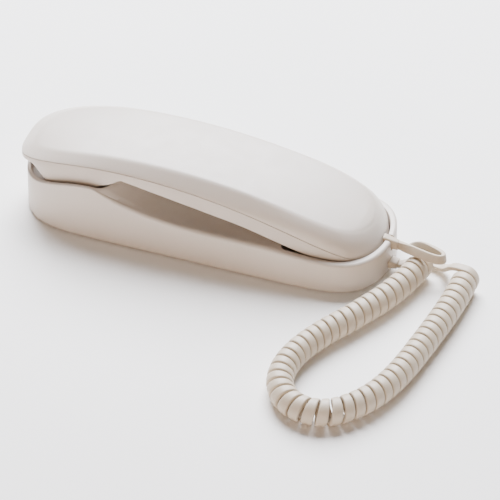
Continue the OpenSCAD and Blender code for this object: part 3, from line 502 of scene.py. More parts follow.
def basin(outline: Sequence[Flat], floor: float, surface: Callable[[float, float], float],
          edge: float, corner: float, centre: Flat) -> Solid:
    """Makes a cutter for a pocket with a flat floor and upright walls, rounded below and above."""
    past, clear, roof = 1.05, 2, 12
    pts = np.array(outline)
    tangent = np.roll(pts, -1, 0) - np.roll(pts, 1, 0)
    tangent /= np.linalg.norm(tangent, axis=1)[:, None]
    out = np.stack([tangent[:, 1], -tangent[:, 0]], 1)
    tops = np.array([surface(x, y) for x, y in pts])
    rings = [np.column_stack([pts - out * corner * (1 - math.cos(a)),
                              np.full(len(pts), floor + corner * (1 - math.sin(a)))])
             for a in quarter(4)[::-1]]
    rings += [np.column_stack([pts + out * edge * (1 - math.cos(a)),
                               tops - edge * (1 - math.sin(a))]) for a in quarter(6)]
    rings.append(np.column_stack([pts + out * edge * past, tops + clear]))
    count = len(pts)
    low, last = len(rings) * count, (len(rings) - 1) * count
    faces = walls(len(rings), count)
    for k in range(count):
        after = (k + 1) % count
        faces += [(low, after, k), (low + 1, last + k, last + after)]
    ends = [(*centre, floor), (*centre, tops.max() + roof)]
    return Solid(np.vstack([*rings, ends]), faces)


class Cut(Enum):
    """What a solid does to the one before it."""

    ADD = "UNION"
    TAKE = "DIFFERENCE"
    KEEP = "INTERSECT"


def shaped(start: Solid, steps: Sequence[tuple[Cut, Solid]]) -> Solid:
    """Adds solids to a first one, cuts it by them or keeps what lies in them."""
    body = as_object("shaping", start)
    tools = []
    for operation, solid in steps:
        tool = as_object("tool", solid)
        modifier = body.modifiers.new("step", "BOOLEAN")
        modifier.operation, modifier.object = operation.value, tool
        modifier.solver = "MANIFOLD"
        tools.append(tool)
    mesh = body.evaluated_get(bpy.context.evaluated_depsgraph_get()).to_mesh()
    result = Solid(np.array([v.co for v in mesh.vertices], float),
                   [tuple(p.vertices) for p in mesh.polygons])
    for obj in (body, *tools):
        bpy.data.meshes.remove(obj.data)
    return result


def as_object(name: str, solid: Solid, scale: float = 1.0) -> bpy.types.Object:
    """Puts a solid into the scene."""
    mesh = bpy.data.meshes.new(name)
    mesh.from_pydata((solid.points * scale).tolist(), [], solid.faces)
    mesh.validate()
    obj = bpy.data.objects.new(name, mesh)
    bpy.context.collection.objects.link(obj)
    return obj


def smoothed(obj: bpy.types.Object, sharp: float) -> None:
    """Joins doubled points and shades smoothly across edges that hardly turn."""
    touching = 1e-6
    bm = bmesh.new()
    bm.from_mesh(obj.data)
    bmesh.ops.remove_doubles(bm, verts=bm.verts, dist=touching)
    bmesh.ops.dissolve_degenerate(bm, edges=bm.edges, dist=touching)
    for face in bm.faces:
        face.smooth = True
    for edge in bm.edges:
        turn = edge.calc_face_angle(0.0)
        edge.smooth = len(edge.link_faces) == 2 and turn < math.radians(sharp)
    bm.to_mesh(obj.data)
    bm.free()


def piece(name: str, solid: Solid, material: bpy.types.Material, body: str,
          nodes: Sequence[str] = (), sharp: float = 32.0) -> None:
    """Adds one finished piece to the scene."""
    obj = as_object(name, solid, MM)
    smoothed(obj, sharp)
    obj.data.materials.append(material)
    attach(obj, body)
    if nodes:
        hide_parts(*nodes)
    log.info("%s: %d faces", name, len(obj.data.polygons))


# ---------------------------------------------------------------- finishes
def linear(colour: str) -> tuple[float, float, float, float]:
    """Linear colour of an sRGB hex code."""
    parts = [int(colour[i:i + 2], 16) / 255 for i in (1, 3, 5)]
    return (*[c / 12.92 if c <= 0.04045 else ((c + 0.055) / 1.055) ** 2.4 for c in parts], 1.0)


def add_node(tree: bpy.types.NodeTree, kind: str, values: dict[str, object],
             links: dict[str, bpy.types.NodeSocket], **options: str) -> bpy.types.Node:
    """Adds a node with its settings and links."""
    node = tree.nodes.new(kind)
    for name, option in options.items():
        setattr(node, name, option)
    for name, value in values.items():
        node.inputs[name].default_value = value
    for name, socket in links.items():
        tree.links.new(socket, node.inputs[name])
    return node


@dataclass(frozen=True)
class Finish:
    """A real material and how its surface varies."""

    name: str
    colour: str
    shade: str
    rough: Flat
    patch: float = 0.03
    grain: float = 0.0006
    relief: float = 0.00001
    metallic: float = 0.0
    coat: float = 0.0
    depth: float = 0.0

    def made(self) -> bpy.types.Material:
        """Makes the material of nodes in the object's own coordinates."""
        material = bpy.data.materials.new(self.name)
        material.use_nodes = True
        tree = material.node_tree
        shader = tree.nodes["Principled BSDF"]
        settings = {"Metallic": self.metallic, "Coat Weight": self.coat, "IOR": 1.5}
        if self.depth:
            settings |= {"Subsurface Weight": 0.12, "Subsurface Radius": (1.0, 0.75, 0.55),
                         "Subsurface Scale": self.depth}
        place = add_node(tree, "ShaderNodeTexCoord", {}, {}).outputs["Object"]
        patches, wear, grain = (
            add_node(tree, "ShaderNodeTexNoise",
                     {"Scale": 1 / size, "Detail": detail, "Roughness": 0.55},
                     {"Vector": place}).outputs["Fac"]
            for size, detail in ((self.patch, 3), (self.patch / 5, 4), (self.grain, 2)))
        spread = add_node(tree, "ShaderNodeMapRange", {"From Min": 0.4, "From Max": 0.75},
                          {"Value": patches})
        tint = add_node(tree, "ShaderNodeMix",
                        {"A": linear(self.colour), "B": linear(self.shade)},
                        {"Factor": spread.outputs["Result"]}, data_type="RGBA")
        polish = add_node(tree, "ShaderNodeMapRange",
                          {"From Min": 0.3, "From Max": 0.7, "To Min": self.rough[0],
                           "To Max": self.rough[1]}, {"Value": wear})
        bump = add_node(tree, "ShaderNodeBump", {"Distance": self.relief, "Strength": 0.6},
                        {"Height": grain})
        for name, value in settings.items():
            shader.inputs[name].default_value = value
        tree.links.new(tint.outputs["Result"], shader.inputs["Base Color"])
        tree.links.new(polish.outputs["Result"], shader.inputs["Roughness"])
        tree.links.new(bump.outputs["Normal"], shader.inputs["Normal"])
        return material


class Look(Enum):
    """Every finish on the telephone."""

    # Ivory ABS from a spark-eroded mould: satin, a little warmer where it has aged. Its grain of
    # about 0.1 mm is drawn at 0.4 mm, so that it shows
    SHELL = Finish("ivory_moulded_abs", "#CFC4B9", "#CBBFB2", (0.36, 0.46), 0.05, 0.0004, 0.000008,
                   depth=0.0012)
    # Keys in a slightly greyer ABS, polished by fingers, with the same grain
    KEY = Finish("grey_moulded_abs", "#D9D5CF", "#D4CFC7", (0.3, 0.42), 0.02, 0.0004, 0.000005)
    # Soft vinyl of the curly cord, which picks up a faint orange-peel from extrusion
    VINYL = Finish("extruded_vinyl", "#C2B39E", "#BAAA94", (0.42, 0.56), 0.012, 0.0012, 0.00002)
    # Printed figures: warm grey pad-printing ink
    INK = Finish("pad_printed_ink", "#5B5753", "#66615C", (0.5, 0.6), 0.004)
    # Silicone and neoprene: matt, faintly blotched
    RUBBER = Finish("moulded_rubber", "#5A5754", "#4D4A47", (0.65, 0.85), 0.008, 0.0005, 0.00003)
    # Zinc-plated steel screws and spring, dull and slightly bluish
    STEEL = Finish("zinc_plated_steel", "#B9BBBE", "#A7A9AD", (0.22, 0.4), 0.004, 0.0003, 0.000005,
                   metallic=1.0)
    # Glass-epoxy board under green lacquer
    BOARD = Finish("lacquered_circuit_board", "#1F5A33", "#194A2A", (0.25, 0.4), 0.01, 0.0008,
                   coat=0.4)
    # Black glass-filled nylon of switches, socket and capsules
    NYLON = Finish("black_filled_nylon", "#1B1B1D", "#232326", (0.4, 0.55), 0.006, 0.0004, 0.00002)
    # Gold-flashed spring contacts
    GOLD = Finish("gold_flashed_bronze", "#D9B25C", "#C99E48", (0.18, 0.3), 0.002, metallic=1.0)
    # Drawn aluminium can of the microphone
    CAN = Finish("drawn_aluminium", "#C4C6C8", "#B5B7BA", (0.28, 0.4), 0.003, metallic=1.0)
    # Seamless pale studio floor
    FLOOR = Finish("pale_studio_floor", "#FFFCF7", "#FFFBF6", (0.8, 0.95), 0.5, 0.01)


@dataclass
class Palette:
    """Materials, each made once."""

    made: dict[Look, bpy.types.Material] = field(default_factory=dict)

    def __getitem__(self, look: Look) -> bpy.types.Material:
        """Finds the material of a look, or makes it."""
        if look not in self.made:
            self.made[look] = look.value.made()
        return self.made[look]


# ---------------------------------------------------------------- cord
@dataclass(frozen=True)
class CordRoute:
    """Route of the cord's middle line, in metres: a lead, the curls and a lead, in one piece.

    The curls' axis lies on the surface below the telephone and they are wound left-handed.
    """

    width: float = 0.0049
    thickness: float = 0.0024
    # The curls. Angles are in degrees from a curl's top, and in a bend the curls spread and fan out
    curl_width: float = 0.0046
    curl_d: float = 0.014
    curls: int = 52
    first_angle: float = -5.0
    last_angle: float = 370.0
    curl_spread: float = 0.1
    curl_fan: float = 1.0
    per_curl: int = 24
    axis_steps: int = 16
    bend_span: int = 4
    lead: tuple[Point, ...] = (
        (0.104, 0, 0.015), (0.1058, -0.0003, 0.0151), (0.108, -0.0016, 0.0157),
        (0.1114, -0.0032, 0.0163), (0.1154, -0.0044, 0.0165), (0.1192, -0.0054, 0.0165),
        (0.123, -0.0062, 0.0165), (0.127, -0.0062, 0.0162), (0.1294, -0.0046, 0.0158),
        (0.1294, -0.002, 0.0154), (0.1268, 0.0002, 0.015), (0.1216, 0.0026, 0.0144),
        (0.117, 0.0044, 0.0138), (0.1136, 0.005, 0.0132), (0.1106, 0.0042, 0.0127),
        (0.1086, 0.0022, 0.0123))
    tail: tuple[Point, ...] = (
        (0.105, -0.003, 0.0052), (0.1074, -0.0022, 0.0049), (0.1096, 0.0002, 0.0043),
        (0.1116, 0.0032, 0.0035), (0.115, 0.0054, 0.0029), (0.12, 0.0058, 0.0026),
        (0.1246, 0.0048, 0.0027), (0.1284, 0.003, 0.0041), (0.131, 0, 0.007),
        (0.1332, -0.0024, 0.01))
    axis: tuple[Flat, ...] = (
        (0.117, -0.0014), (0.1151, -0.0114), (0.1125, -0.021), (0.1075, -0.0345),
        (0.1015, -0.0465), (0.0955, -0.0575), (0.0885, -0.0695), (0.0828, -0.0815),
        (0.079, -0.0935), (0.078, -0.106), (0.0808, -0.1175), (0.0884, -0.1266),
        (0.0995, -0.1306), (0.1108, -0.128), (0.12, -0.1195), (0.127, -0.1085),
        (0.132, -0.095), (0.1353, -0.08), (0.1375, -0.065), (0.1395, -0.05), (0.1412, -0.035),
        (0.1423, -0.02), (0.1426, -0.0046))

    def axis_line(self) -> np.ndarray:
        """Draws the curls' axis, half a curl above the surface."""
        steps = self.axis_steps * (len(self.axis) - 1)
        flat = np.array([spline(self.axis, i / self.axis_steps) for i in range(steps + 1)])
        return np.column_stack([flat, np.full(len(flat), self.curl_d / 2)])

    def bends(self, axis: np.ndarray, heading: np.ndarray) -> tuple[np.ndarray, np.ndarray]:
        """Measures how the axis bends."""
        bend, outside = np.zeros(len(axis)), np.zeros((len(axis), 3))
        for i in range(len(axis)):
            a, b = max(1, i - self.bend_span), min(len(axis) - 2, i + self.bend_span)
            apart = np.linalg.norm(axis[b] - axis[a])
            bend[i] = math.acos(float(np.clip(heading[a] @ heading[b], -1, 1))) / apart
            outside[i] = (heading[a] - heading[b]) / apart
        return bend, outside

    def curl_line(self) -> tuple[np.ndarray, np.ndarray, np.ndarray]:
        """Winds the curls round their axis.

        Round a bend the curls fan out, so the ribbon shows more of its width outside than inside.
        """
        axis = self.axis_line()
        heading = directions(axis)
        bend, outside = self.bends(axis, heading)
        steps = np.diff(travelled(axis)) / (1 + self.curl_spread * self.curl_d * bend[:-1])
        total = np.concatenate([[0], np.cumsum(steps)])
        place = np.arange(len(axis))

        def along(values: np.ndarray, u: float) -> np.ndarray:
            """Values at place u, between the axis's points."""
            return np.array([np.interp(u, place, column) for column in values.T])

        angle = 360 * (self.curls - 1) + self.last_angle - self.first_angle
        count = round(angle / 360 * self.per_curl)
        radius = (self.curl_d - self.thickness) / 2
        up = np.array((0, 0, 1))
        points, sides, widths = [], [], []
        for k in range(count + 1):
            u = np.interp(k / count * total[-1], total, place)
            ahead = along(heading, u)
            ahead /= np.linalg.norm(ahead)
            a = math.radians(self.first_angle + angle * k / count)
            spoke = radius * (math.cos(a) * up + math.sin(a) * np.cross(up, ahead))
            points.append(along(axis, u) + spoke)
            sides.append(ahead)
            widths.append(self.curl_width * (1 + self.curl_fan * spoke @ along(outside, u)))
        return np.array(points), np.array(sides), np.array(widths)


@dataclass
class Cord:
    """The curly cord, one ribbon from the handset to the cradle. Lengths in metres."""

    route: CordRoute = CordRoute()
    step: float = 0.0008
    sides: int = 18
    flatness: Flat = (0.36, 0.4)
    # The leads: a short straight start, then a lean in degrees and a twist towards the curls
    straight: float = 0.0008
    lead_points: int = 600
    lean: float = -38.0
    lean_steps: int = 14
    twist_power: float = 2.5
    # Points over which each lead turns softly into the curls
    turn_before: int = 7
    turn_after: int = 11
    turn_reach: int = 7
    turn_full: float = 1.7
    turn_rounds: int = 30
    # Stretch of the lead that follows the handset, from its exit
    lift_run: Point = (0.00212, -0.00132, -0.00265)

    def _lead(self, points: Sequence[Point], end: np.ndarray, away: np.ndarray) -> np.ndarray:
        """Draws a lead that starts along X and runs straight into the curls."""
        straight = self.straight
        start, inner = np.array(points[0]), end + away * self.route.width
        through = [start + (straight, 0, 0), *[np.array(p) for p in points[1:]],
                   inner + away * 3 * straight, inner + away * straight]
        bend = [spline(through, u) for u in np.linspace(0, len(through) - 1, self.lead_points)]
        dense = np.array([start, *bend, inner, end])
        length = travelled(dense)
        wanted = np.linspace(0, length[-1], int(length[-1] / self.step))
        return np.column_stack([np.interp(wanted, length, dense[:, j]) for j in range(3)])[:-1]

    def _eased(self, path: np.ndarray, first: int, last: int) -> np.ndarray:
        """Turns the leads softly into the curls."""
        place, near = np.arange(len(path)), np.zeros(len(path))
        for middle in (first - self.turn_before, last + self.turn_after):
            near += np.clip(self.turn_full - np.abs(place - middle) / self.turn_reach, 0, 1)
        near[first:last] = 0
        near[[0, -1]] = 0
        for _ in range(self.turn_rounds):
            between = (np.roll(path, 1, 0) + np.roll(path, -1, 0)) / 2
            path = path + 0.5 * near[:, None] * (between - path)
        return path

    def _carried(self, tangent: np.ndarray, start: Point, wanted: np.ndarray,
                 lean: float) -> np.ndarray:
        """Carries the ribbon's width direction along a lead."""
        kept = []
        s = np.array(start, float)
        for d in tangent:
            s = s - d * (s @ d)
            s /= np.linalg.norm(s)
            kept.append(s)
        d = tangent[-1]
        turn = math.atan2(np.cross(kept[-1], wanted) @ d, kept[-1] @ wanted)
        turn = (turn + math.pi / 2) % math.pi - math.pi / 2
        result = []
        for i, (s, d) in enumerate(zip(kept, tangent)):
            share = (i / (len(kept) - 1)) ** self.twist_power
            a = turn * share + math.radians(lean) * ease(i / self.lean_steps) * (1 - share)
            result.append(s * math.cos(a) + np.cross(d, s) * math.sin(a))
        return np.array(result)

    def line(self) -> tuple[np.ndarray, np.ndarray, np.ndarray]:
        """Draws the whole cord, from the handset to the cradle."""
        curls, axis, widths = self.route.curl_line()
        into, out = directions(curls[:2])[0], directions(curls[-2:])[0]
        lead = self._lead(self.route.lead, curls[0], -into)
        tail = self._lead(self.route.tail, curls[-1], out)[::-1]
        a, b = len(lead), len(lead) + len(curls)
        path = self._eased(np.vstack([lead, curls, tail]), a, b)
        tangent = directions(path)
        side = np.zeros_like(path)
        side[a:b] = axis
        side[:a] = self._carried(tangent[:a + 1], (0, 0, 1), axis[0], self.lean)[:a]
        side[b:] = self._carried(tangent[b - 1:][::-1], (0, 1, 0), axis[-1], 0)[::-1][1:]
        side -= tangent * np.sum(side * tangent, axis=1)[:, None]
        side /= np.linalg.norm(side, axis=1)[:, None]
        width = np.full(len(path), self.route.width)
        place = np.arange(b - a)
        near = np.minimum(place, place[::-1]) / self.route.per_curl
        width[a:b] = [mix(self.route.width, w, ease(n)) for n, w in zip(near, widths)]
        return path, side, width

    def made(self, palette: Palette) -> None:
        path, side, width = self.line()
        across = np.cross(directions(path), side)
        angle = 2 * math.pi * (np.arange(self.sides) + 0.5) / self.sides
        flat, thick = (np.sign(wave) * np.abs(wave) ** power / 2
                       for wave, power in zip((np.cos(angle), np.sin(angle)), self.flatness))
        rings = (path[:, None, :] + side[:, None, :] * (flat[None, :, None] * width[:, None, None])
                 + across[:, None, :] * (thick[None, :, None] * self.route.thickness))
        cord = as_object("curly_cord", tube(rings))
        for polygon in cord.data.polygons:
            polygon.use_smooth = len(polygon.vertices) == 4
        cord.data.materials.append(palette[Look.VINYL])
        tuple(path[0])
        path[0] + np.array(self.lift_run)
        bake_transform(cord)
        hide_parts("cord_handset_lead", "cord_curls", "cord_cradle_lead")
        length = float(travelled(path)[-1])
        log.info("curly_cord: %d faces, %.3f m long", len(cord.data.polygons), length)
        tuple(path[0])


# ---------------------------------------------------------------- shells
@dataclass
class Cradle:
    """The cradle's shell, in millimetres."""

    form: CradleForm = CradleForm()
    count: int = 150
    columns: int = 41
    core_count: int = 60
    core_columns: int = 9
    pocket_count: int = 90
    core_round: float = 1.5
    foot_round: float = 0.8
    floor_round: float = 1.2
    ear_edge: float = 0.5
    mouth_edge: float = 0.4
    core_edge: float = 0.1
    # Openings in the shell
    plunger_r: float = 2.55
    plunger_at: Flat = (-56, 13)
    plunger_z: Flat = (10, 30)
    line_socket: Box = ((5.15, 20, 5.7), (14.85, 60, 12.3))
    knob_slot: Box = ((-19.3, 20, 6.5), (-10.7, 60, 9.5))
    knob_recess: Box = ((-21, 0, 5.4), (-9, 60, 10.6))
    recess_depth: float = 0.8
    relief_hole: Box = ((97.5, -6.4, 3.1), (108, 0.4, 7.3))
    lead_notch: Box = ((94.8, -2.8, 12.1), (108, 2.8, 34))

    def outside(self) -> Solid:
        """Makes the outer form: an upright wall, a rounded rim and the deck with its scoop."""
        f, soft = self.form, 0.3 * self.foot_round
        rows = [f.plan.row(self.foot_round, lambda x: f.foot_z, self.count),
                f.plan.row(soft, lambda x: f.foot_z + soft, self.count),
                f.plan.row(0, lambda x: f.foot_z + self.foot_round, self.count)]
        mid, reach = (f.plan.x0 + f.plan.x1) / 2, (f.plan.x1 - f.plan.x0) / 2
        for a in quarter(9):
            row = []
            for u in stations(-1, 1, self.count):
                r = f.rim_radius(mid + reach * u)
                inset = r * (1 - math.cos(a))
                x = mid + (reach - inset) * u
                row.append((x, f.plan.half(x, inset), f.deck(x, 1) - r * (1 - math.sin(a))))
            rows.append(row)
        edge = rows[-1]
        return loft(rows, lambda i, x, y: f.deck(x, abs(y) / edge[i][1]), self.columns)

    def hollow(self) -> Solid:
        """Makes the space inside the shell."""
        f = self.form
        rows = [f.plan.row(f.wall, lambda x: f.foot_z - 1, self.core_count),
                f.plan.row(f.wall, lambda x: f.rim(x) - f.wall - self.core_round, self.core_count),
                f.plan.row(f.wall + self.core_round, lambda x: f.rim(x) - f.wall, self.core_count)]
        edge = rows[-1]

        def under_deck(i: int, x: float, y: float) -> float:
            """Height of the deck's underside."""
            return f.deck_sharp(x, min(1, abs(y) / max(edge[i][1], 0.1))) - f.wall

        return loft(rows, under_deck, self.core_columns)

    def pocket(self, half: Callable[[float], float], ends: Flat, floor: float, edge: float,
               corner: float) -> Solid:
        """Makes the cutter for one of the two pockets."""
        xs = stations(*ends, self.pocket_count)
        outline = [(x, -half(x)) for x in xs] + [(x, half(x)) for x in xs[-2:0:-1]]

        def surface(x: float, y: float) -> float:
            """Height of the deck round the pocket."""
            return self.form.deck(x, min(1.0, abs(y) / max(self.form.plan.half(x), 1.0)))

        return basin(outline, floor, surface, edge, corner, (sum(ends) / 2, 0))

    def made(self, palette: Palette) -> None:
        """Makes the shell, with pockets, notch, holes and slots."""
        f = self.form
        ear = (f.plan.x0 + f.ear_rim_w, f.ear_end)
        mouth = (f.mouth_start, f.plan.x1 - f.mouth_rim_w)
        pockets = [self.pocket(f.ear_pocket, ear, f.ear_floor, self.ear_edge, self.floor_round),
                   self.pocket(f.mouth_pocket, mouth, f.mouth_floor, self.mouth_edge,
                               self.floor_round)]
        cores = [self.pocket(lambda x: f.ear_pocket(x) + f.wall, (ear[0] - 0.5, ear[1] + f.wall),
                             f.ear_floor - f.wall, self.core_edge, self.core_edge),
                 self.pocket(lambda x: f.mouth_pocket(x) + f.wall,
                             (mouth[0] - f.wall, mouth[1] + 0.5), f.mouth_floor - f.wall,
                             self.core_edge, self.core_edge)]
        hollow = shaped(self.hollow(), [(Cut.TAKE, core) for core in cores])
        plunger_hole = cylinder(self.plunger_r, *self.plunger_z, 64).at(*self.plunger_at)
        holes = together([plunger_hole, block(*self.line_socket), block(*self.knob_slot),
                          block(*self.relief_hole), block(*self.lead_notch)])
        (x0, _, z0), high = self.knob_recess
        recess = block((x0, f.plan.half((x0 + high[0]) / 2, self.recess_depth), z0), high)
        cuts = [(Cut.TAKE, solid) for solid in (hollow, *pockets, holes, recess)]
        piece("cradle_cover", shaped(self.outside(), cuts), palette[Look.SHELL], "cradle",
              ["cradle_shell"])


@dataclass(frozen=True)
class Keypad:
    """The handset's fifteen keys on its inner face, in millimetres, with Z into the handset."""

    form: HandsetForm = HandsetForm()
    first_x: float = -31.0
    pitch: Flat = (13.0, 15.0)
    size: Flat = (8.0, 11.0)
    small_x: float = 23.0
    small_length: float = 5.0
    corner: float = 1.2
    # The cap, whose top points out of the handset, along -Z
    flange_w: float = 0.8
    flange_z: Flat = (2.25, 3.25)
    support_z: Flat = (-1.0, -1.12)
    top_z: float = -1.5
    top_round: float = 0.45
    top_inset: float = 0.9
    dish: float = 0.22
    # The printed figure
    mark_size: float = 5.2
    mark_share: float = 0.62
    mark_z: float = -1.32
    mark_t: float = 0.04

    def spots(self) -> dict[str, tuple[float, float, float, float]]:
        """Places the keys."""
        names = ["1", "2", "3", "4", "5", "6", "7", "8", "9", "star", "0", "hash"]
        spots = {f"key_{name}": (self.first_x + self.pitch[0] * (i // 3),
                                 self.pitch[1] * (1 - i % 3), *self.size)
                 for i, name in enumerate(names)}
        for i, name in enumerate(("flash", "redial", "mute")):
            spots[f"key_{name}"] = (self.small_x, self.pitch[1] * (1 - i), self.small_length,
                                    self.size[1])
        return spots

    def cap(self, length: float, width: float) -> Solid:
        """Makes a key's cap with rounded edges, a shallow dish and a hidden flange."""
        outline = np.array(rounded_box(length, width, self.corner, 10))
        rim = outline * (1 - self.top_inset / length, 1 - self.top_inset / width)
        rings = [(outline, z) for z in (self.flange_z[0], *self.support_z)]
        for a in quarter(4)[1:]:
            rings.append((mix(outline, rim, 1 - math.cos(a)),
                          self.top_z + self.top_round * (1 - math.sin(a))))
        rings += [(rim * s, self.top_z + self.dish * (1 - s * s)) for s in (0.8, 0.55, 0.3)]
        solid = tube(np.array([np.column_stack([ring, np.full(len(ring), z)])
                               for ring, z in rings[::-1]]))
        x, y = length / 2 + self.flange_w, width / 2 + self.flange_w
        flange = block((-x, -y, self.flange_z[0]), (x, y, self.flange_z[1]))
        return shaped(solid, [(Cut.ADD, flange)])

    def mark(self, text: str, size: float) -> Solid:
        """Makes a printed figure, a hair above the key's dish."""
        curve = bpy.data.curves.new("mark", "FONT")
        curve.body, curve.size, curve.extrude = text, size, self.mark_t
        curve.align_x, curve.align_y = "CENTER", "CENTER"
        obj = bpy.data.objects.new("mark", curve)
        bpy.context.collection.objects.link(obj)
        mesh = obj.evaluated_get(bpy.context.evaluated_depsgraph_get()).to_mesh()
        pts = np.array([v.co for v in mesh.vertices], float)
        middle = (pts.min(0) + pts.max(0)) / 2
        pts -= (middle[0], middle[1], 0)
        turned = np.column_stack([-pts[:, 1], -pts[:, 0], self.mark_z - pts[:, 2]])
        faces = [tuple(p.vertices)[::-1] for p in mesh.polygons]
        bpy.data.curves.remove(curve)
        return Solid(turned, faces)

    def made(self, palette: Palette) -> None:
        """Makes every key with its figure."""
        marks = {"key_star": "*", "key_hash": "#", "key_flash": "F", "key_redial": "R",
                 "key_mute": "M"}
        for name, (x, y, length, width) in self.spots().items():
            place = self.form.on_face(x, y)
            piece(name + "_cap", self.cap(length, width).moved(place), palette[Look.KEY], name,
                  [name], 25)
            size = min(self.mark_size, length * self.mark_share)
            mark = self.mark(marks.get(name, name[-1]), size)
            piece(name + "_mark", mark.moved(place), palette[Look.INK], name, [], 30)


@dataclass(frozen=True)
class Boss:
    """A boss under the inner face: first x, last x and half width at its root and at its foot."""

    root: Point
    foot: Point
    foot_z: float


@dataclass
class Handset:
    """The handset's two shells, in millimetres."""

    form: HandsetForm = HandsetForm()
    keypad: Keypad = Keypad()
    count: int = 150
    columns: int = 41
    seam_round: float = 0.3
    edge_round: Flat = (1.3, 1.2)
    # The lip inside the seam
    lip_count: int = 80
    lip_gap: float = 0.1
    lip_wall: float = 1.2
    lip_insets: tuple[float, ...] = (1, 2.5, 4.5, 6.3)
    # The two bosses that lie in the cradle's pockets
    boss_count: int = 72
    boss_round: float = 1.5
    boss_along: float = 2.8
    boss_across: float = 2.2
    boss_inset: float = 0.6
    ear: Boss = Boss((-99, -42.5, 25.5), (-88.5, -44.3, 22.5), 17.3)
    mouth: Boss = Boss((47.5, 96.4, 27), (49.5, 94.5, 23), 8.3)
    # Screws, their pillars and the board's posts
    ear_screw_x: float = -79.5
    mouth_screw_x: float = 85.0
    screw_y: float = 13.0
    screw_r: float = 1.6
    screw_head: float = 1.85
    pillar: Point = (4, 0.5, 3.6)
    post_x: Flat = (-24.5, 16.0)
    post_y: float = 19.0
    post_r: float = 1.2
    post_top: float = 4.55
    # Holes for sound, keys and the lead
    receiver_x: float = -62.5
    mic_x: float = 80.0
    mic_pitch: float = 3.0
    sound_r: float = 0.8
    sound_rings: tuple[tuple[float, int], ...] = ((4, 6), (8, 12))
    window_gap: float = 0.3
    window_corner: float = 1.5
    lead_hole: Box = ((89, -2.4, 12.9), (101, 2.4, 19.5))

    def _upper(self, off: float, low: float, count: int, insets: Sequence[float],
               columns: int) -> Solid:
        """Makes the form above the parting line."""
        f = self.form

        def height(x: float, inset: float) -> float:
            """Height of the shoulder at an inset from the outline."""
            drop = off * min(1, inset / f.shoulder)
            return f.part(x) + f.shoulder_rise(x) * f.shoulder_share(inset, x) - drop

        def crown(x: float, w: float) -> float:
            """Rise of the crown at a distance from the middle line."""
            wide = max(f.half(x, off + f.shoulder), 0.01)
            return f.crown * max(0.0, 1 - (w / wide) ** 2) * min(1.0, wide / f.crown_full_w)

        if off:
            rows = [f.row(off, lambda x: f.part(x) + low, count)]
        else:
            soft = 0.3 * self.seam_round
            rows = [f.row(self.seam_round, lambda x: f.part(x) + low, count),
                    f.row(soft, lambda x: f.part(x) + low + soft, count)]
        for inset in insets:
            row = f.row(off + inset, lambda x: height(x, inset), count)
            if inset > f.shoulder:
                row = [(x, w, z + crown(x, w)) for x, w, z in row]
            rows.append(row)
        full = 2 * f.shoulder
        return loft(rows, lambda i, x, y: height(x, full) + crown(x, abs(y)), columns)

    def _lower(self, off: float, low: float, high: float, count: int) -> Solid:
        """Makes the form below the parting line, with a rounded lower edge."""
        f, (across, up) = self.form, self.edge_round
        rows = [f.row(off + across * (1 - math.cos(a)),
                      lambda x, a=a: f.edge(x) + up * (1 - math.sin(a)) + low, count)
                for a in quarter(8)[::-1]]
        if off:
            return loft([*rows, f.row(off, lambda x: f.part(x) + high, count)])
        soft = 0.3 * self.seam_round
        for inset, down in ((0, self.seam_round), (soft, soft), (self.seam_round, 0)):
            rows.append(f.row(inset, lambda x, d=down: f.part(x) + high - d, count))
        return loft(rows)

    def _boss(self, boss: Boss, sink: float, fillet: int) -> Solid:
        """Makes a boss, with a rounding at its foot."""
        f, r = self.form, self.boss_round

        def row(box: Point, shrunk: float, height: Callable[[float], float]) -> Row:
            """Draws a half outline of the boss."""
            x0, x1, half = box[0] + shrunk, box[1] - shrunk, box[2] - shrunk
            mid, length = (x0 + x1) / 2, (x1 - x0) / 2
            result = []
            for x in stations(x0, x1, self.boss_count):
                share = max(0.0, 1 - min(1.0, abs(x - mid) / length) ** self.boss_along)
                own = half * share ** (1 / self.boss_across)
                result.append((x, min(own, f.half(x, self.boss_inset)), height(x)))
            return result

        rows = [row(boss.foot, sink + r * (1 - math.cos(a)),
                    lambda x, a=a: boss.foot_z + sink + r * (1 - math.sin(a)))
                for a in quarter(fillet)[::-1]]
        rows.append(row(boss.root, sink, lambda x: f.edge(x) + 1 + sink))
        return loft(rows)

    def _lip(self) -> Solid:
        """Makes the lip that stands up inside the back shell."""
        f, count = self.form, self.lip_count
        wall, inner = f.wall + self.lip_gap, f.wall + self.lip_wall

        def slab(off: float, low: float, high: float) -> Solid:
            """Slab from low to high above the parting line."""
            return loft([f.row(off, lambda x, d=d: f.part(x) + d, count) for d in (low, high)])

        upper = shaped(self._upper(wall, -2, count, self.lip_insets, 5),
                       [(Cut.KEEP, slab(f.wall, -2 * f.seam, 1.6))])
        return shaped(slab(f.wall - 0.5, -2, -f.seam),
                      [(Cut.ADD, upper), (Cut.TAKE, slab(inner, -3, 4))])

    def _screws(self) -> list[Point]:
        """Where the four screws stand."""
        return [(x, y, boss.foot_z)
                for x, boss in ((self.ear_screw_x, self.ear), (self.mouth_screw_x, self.mouth))
                for y in (self.screw_y, -self.screw_y)]

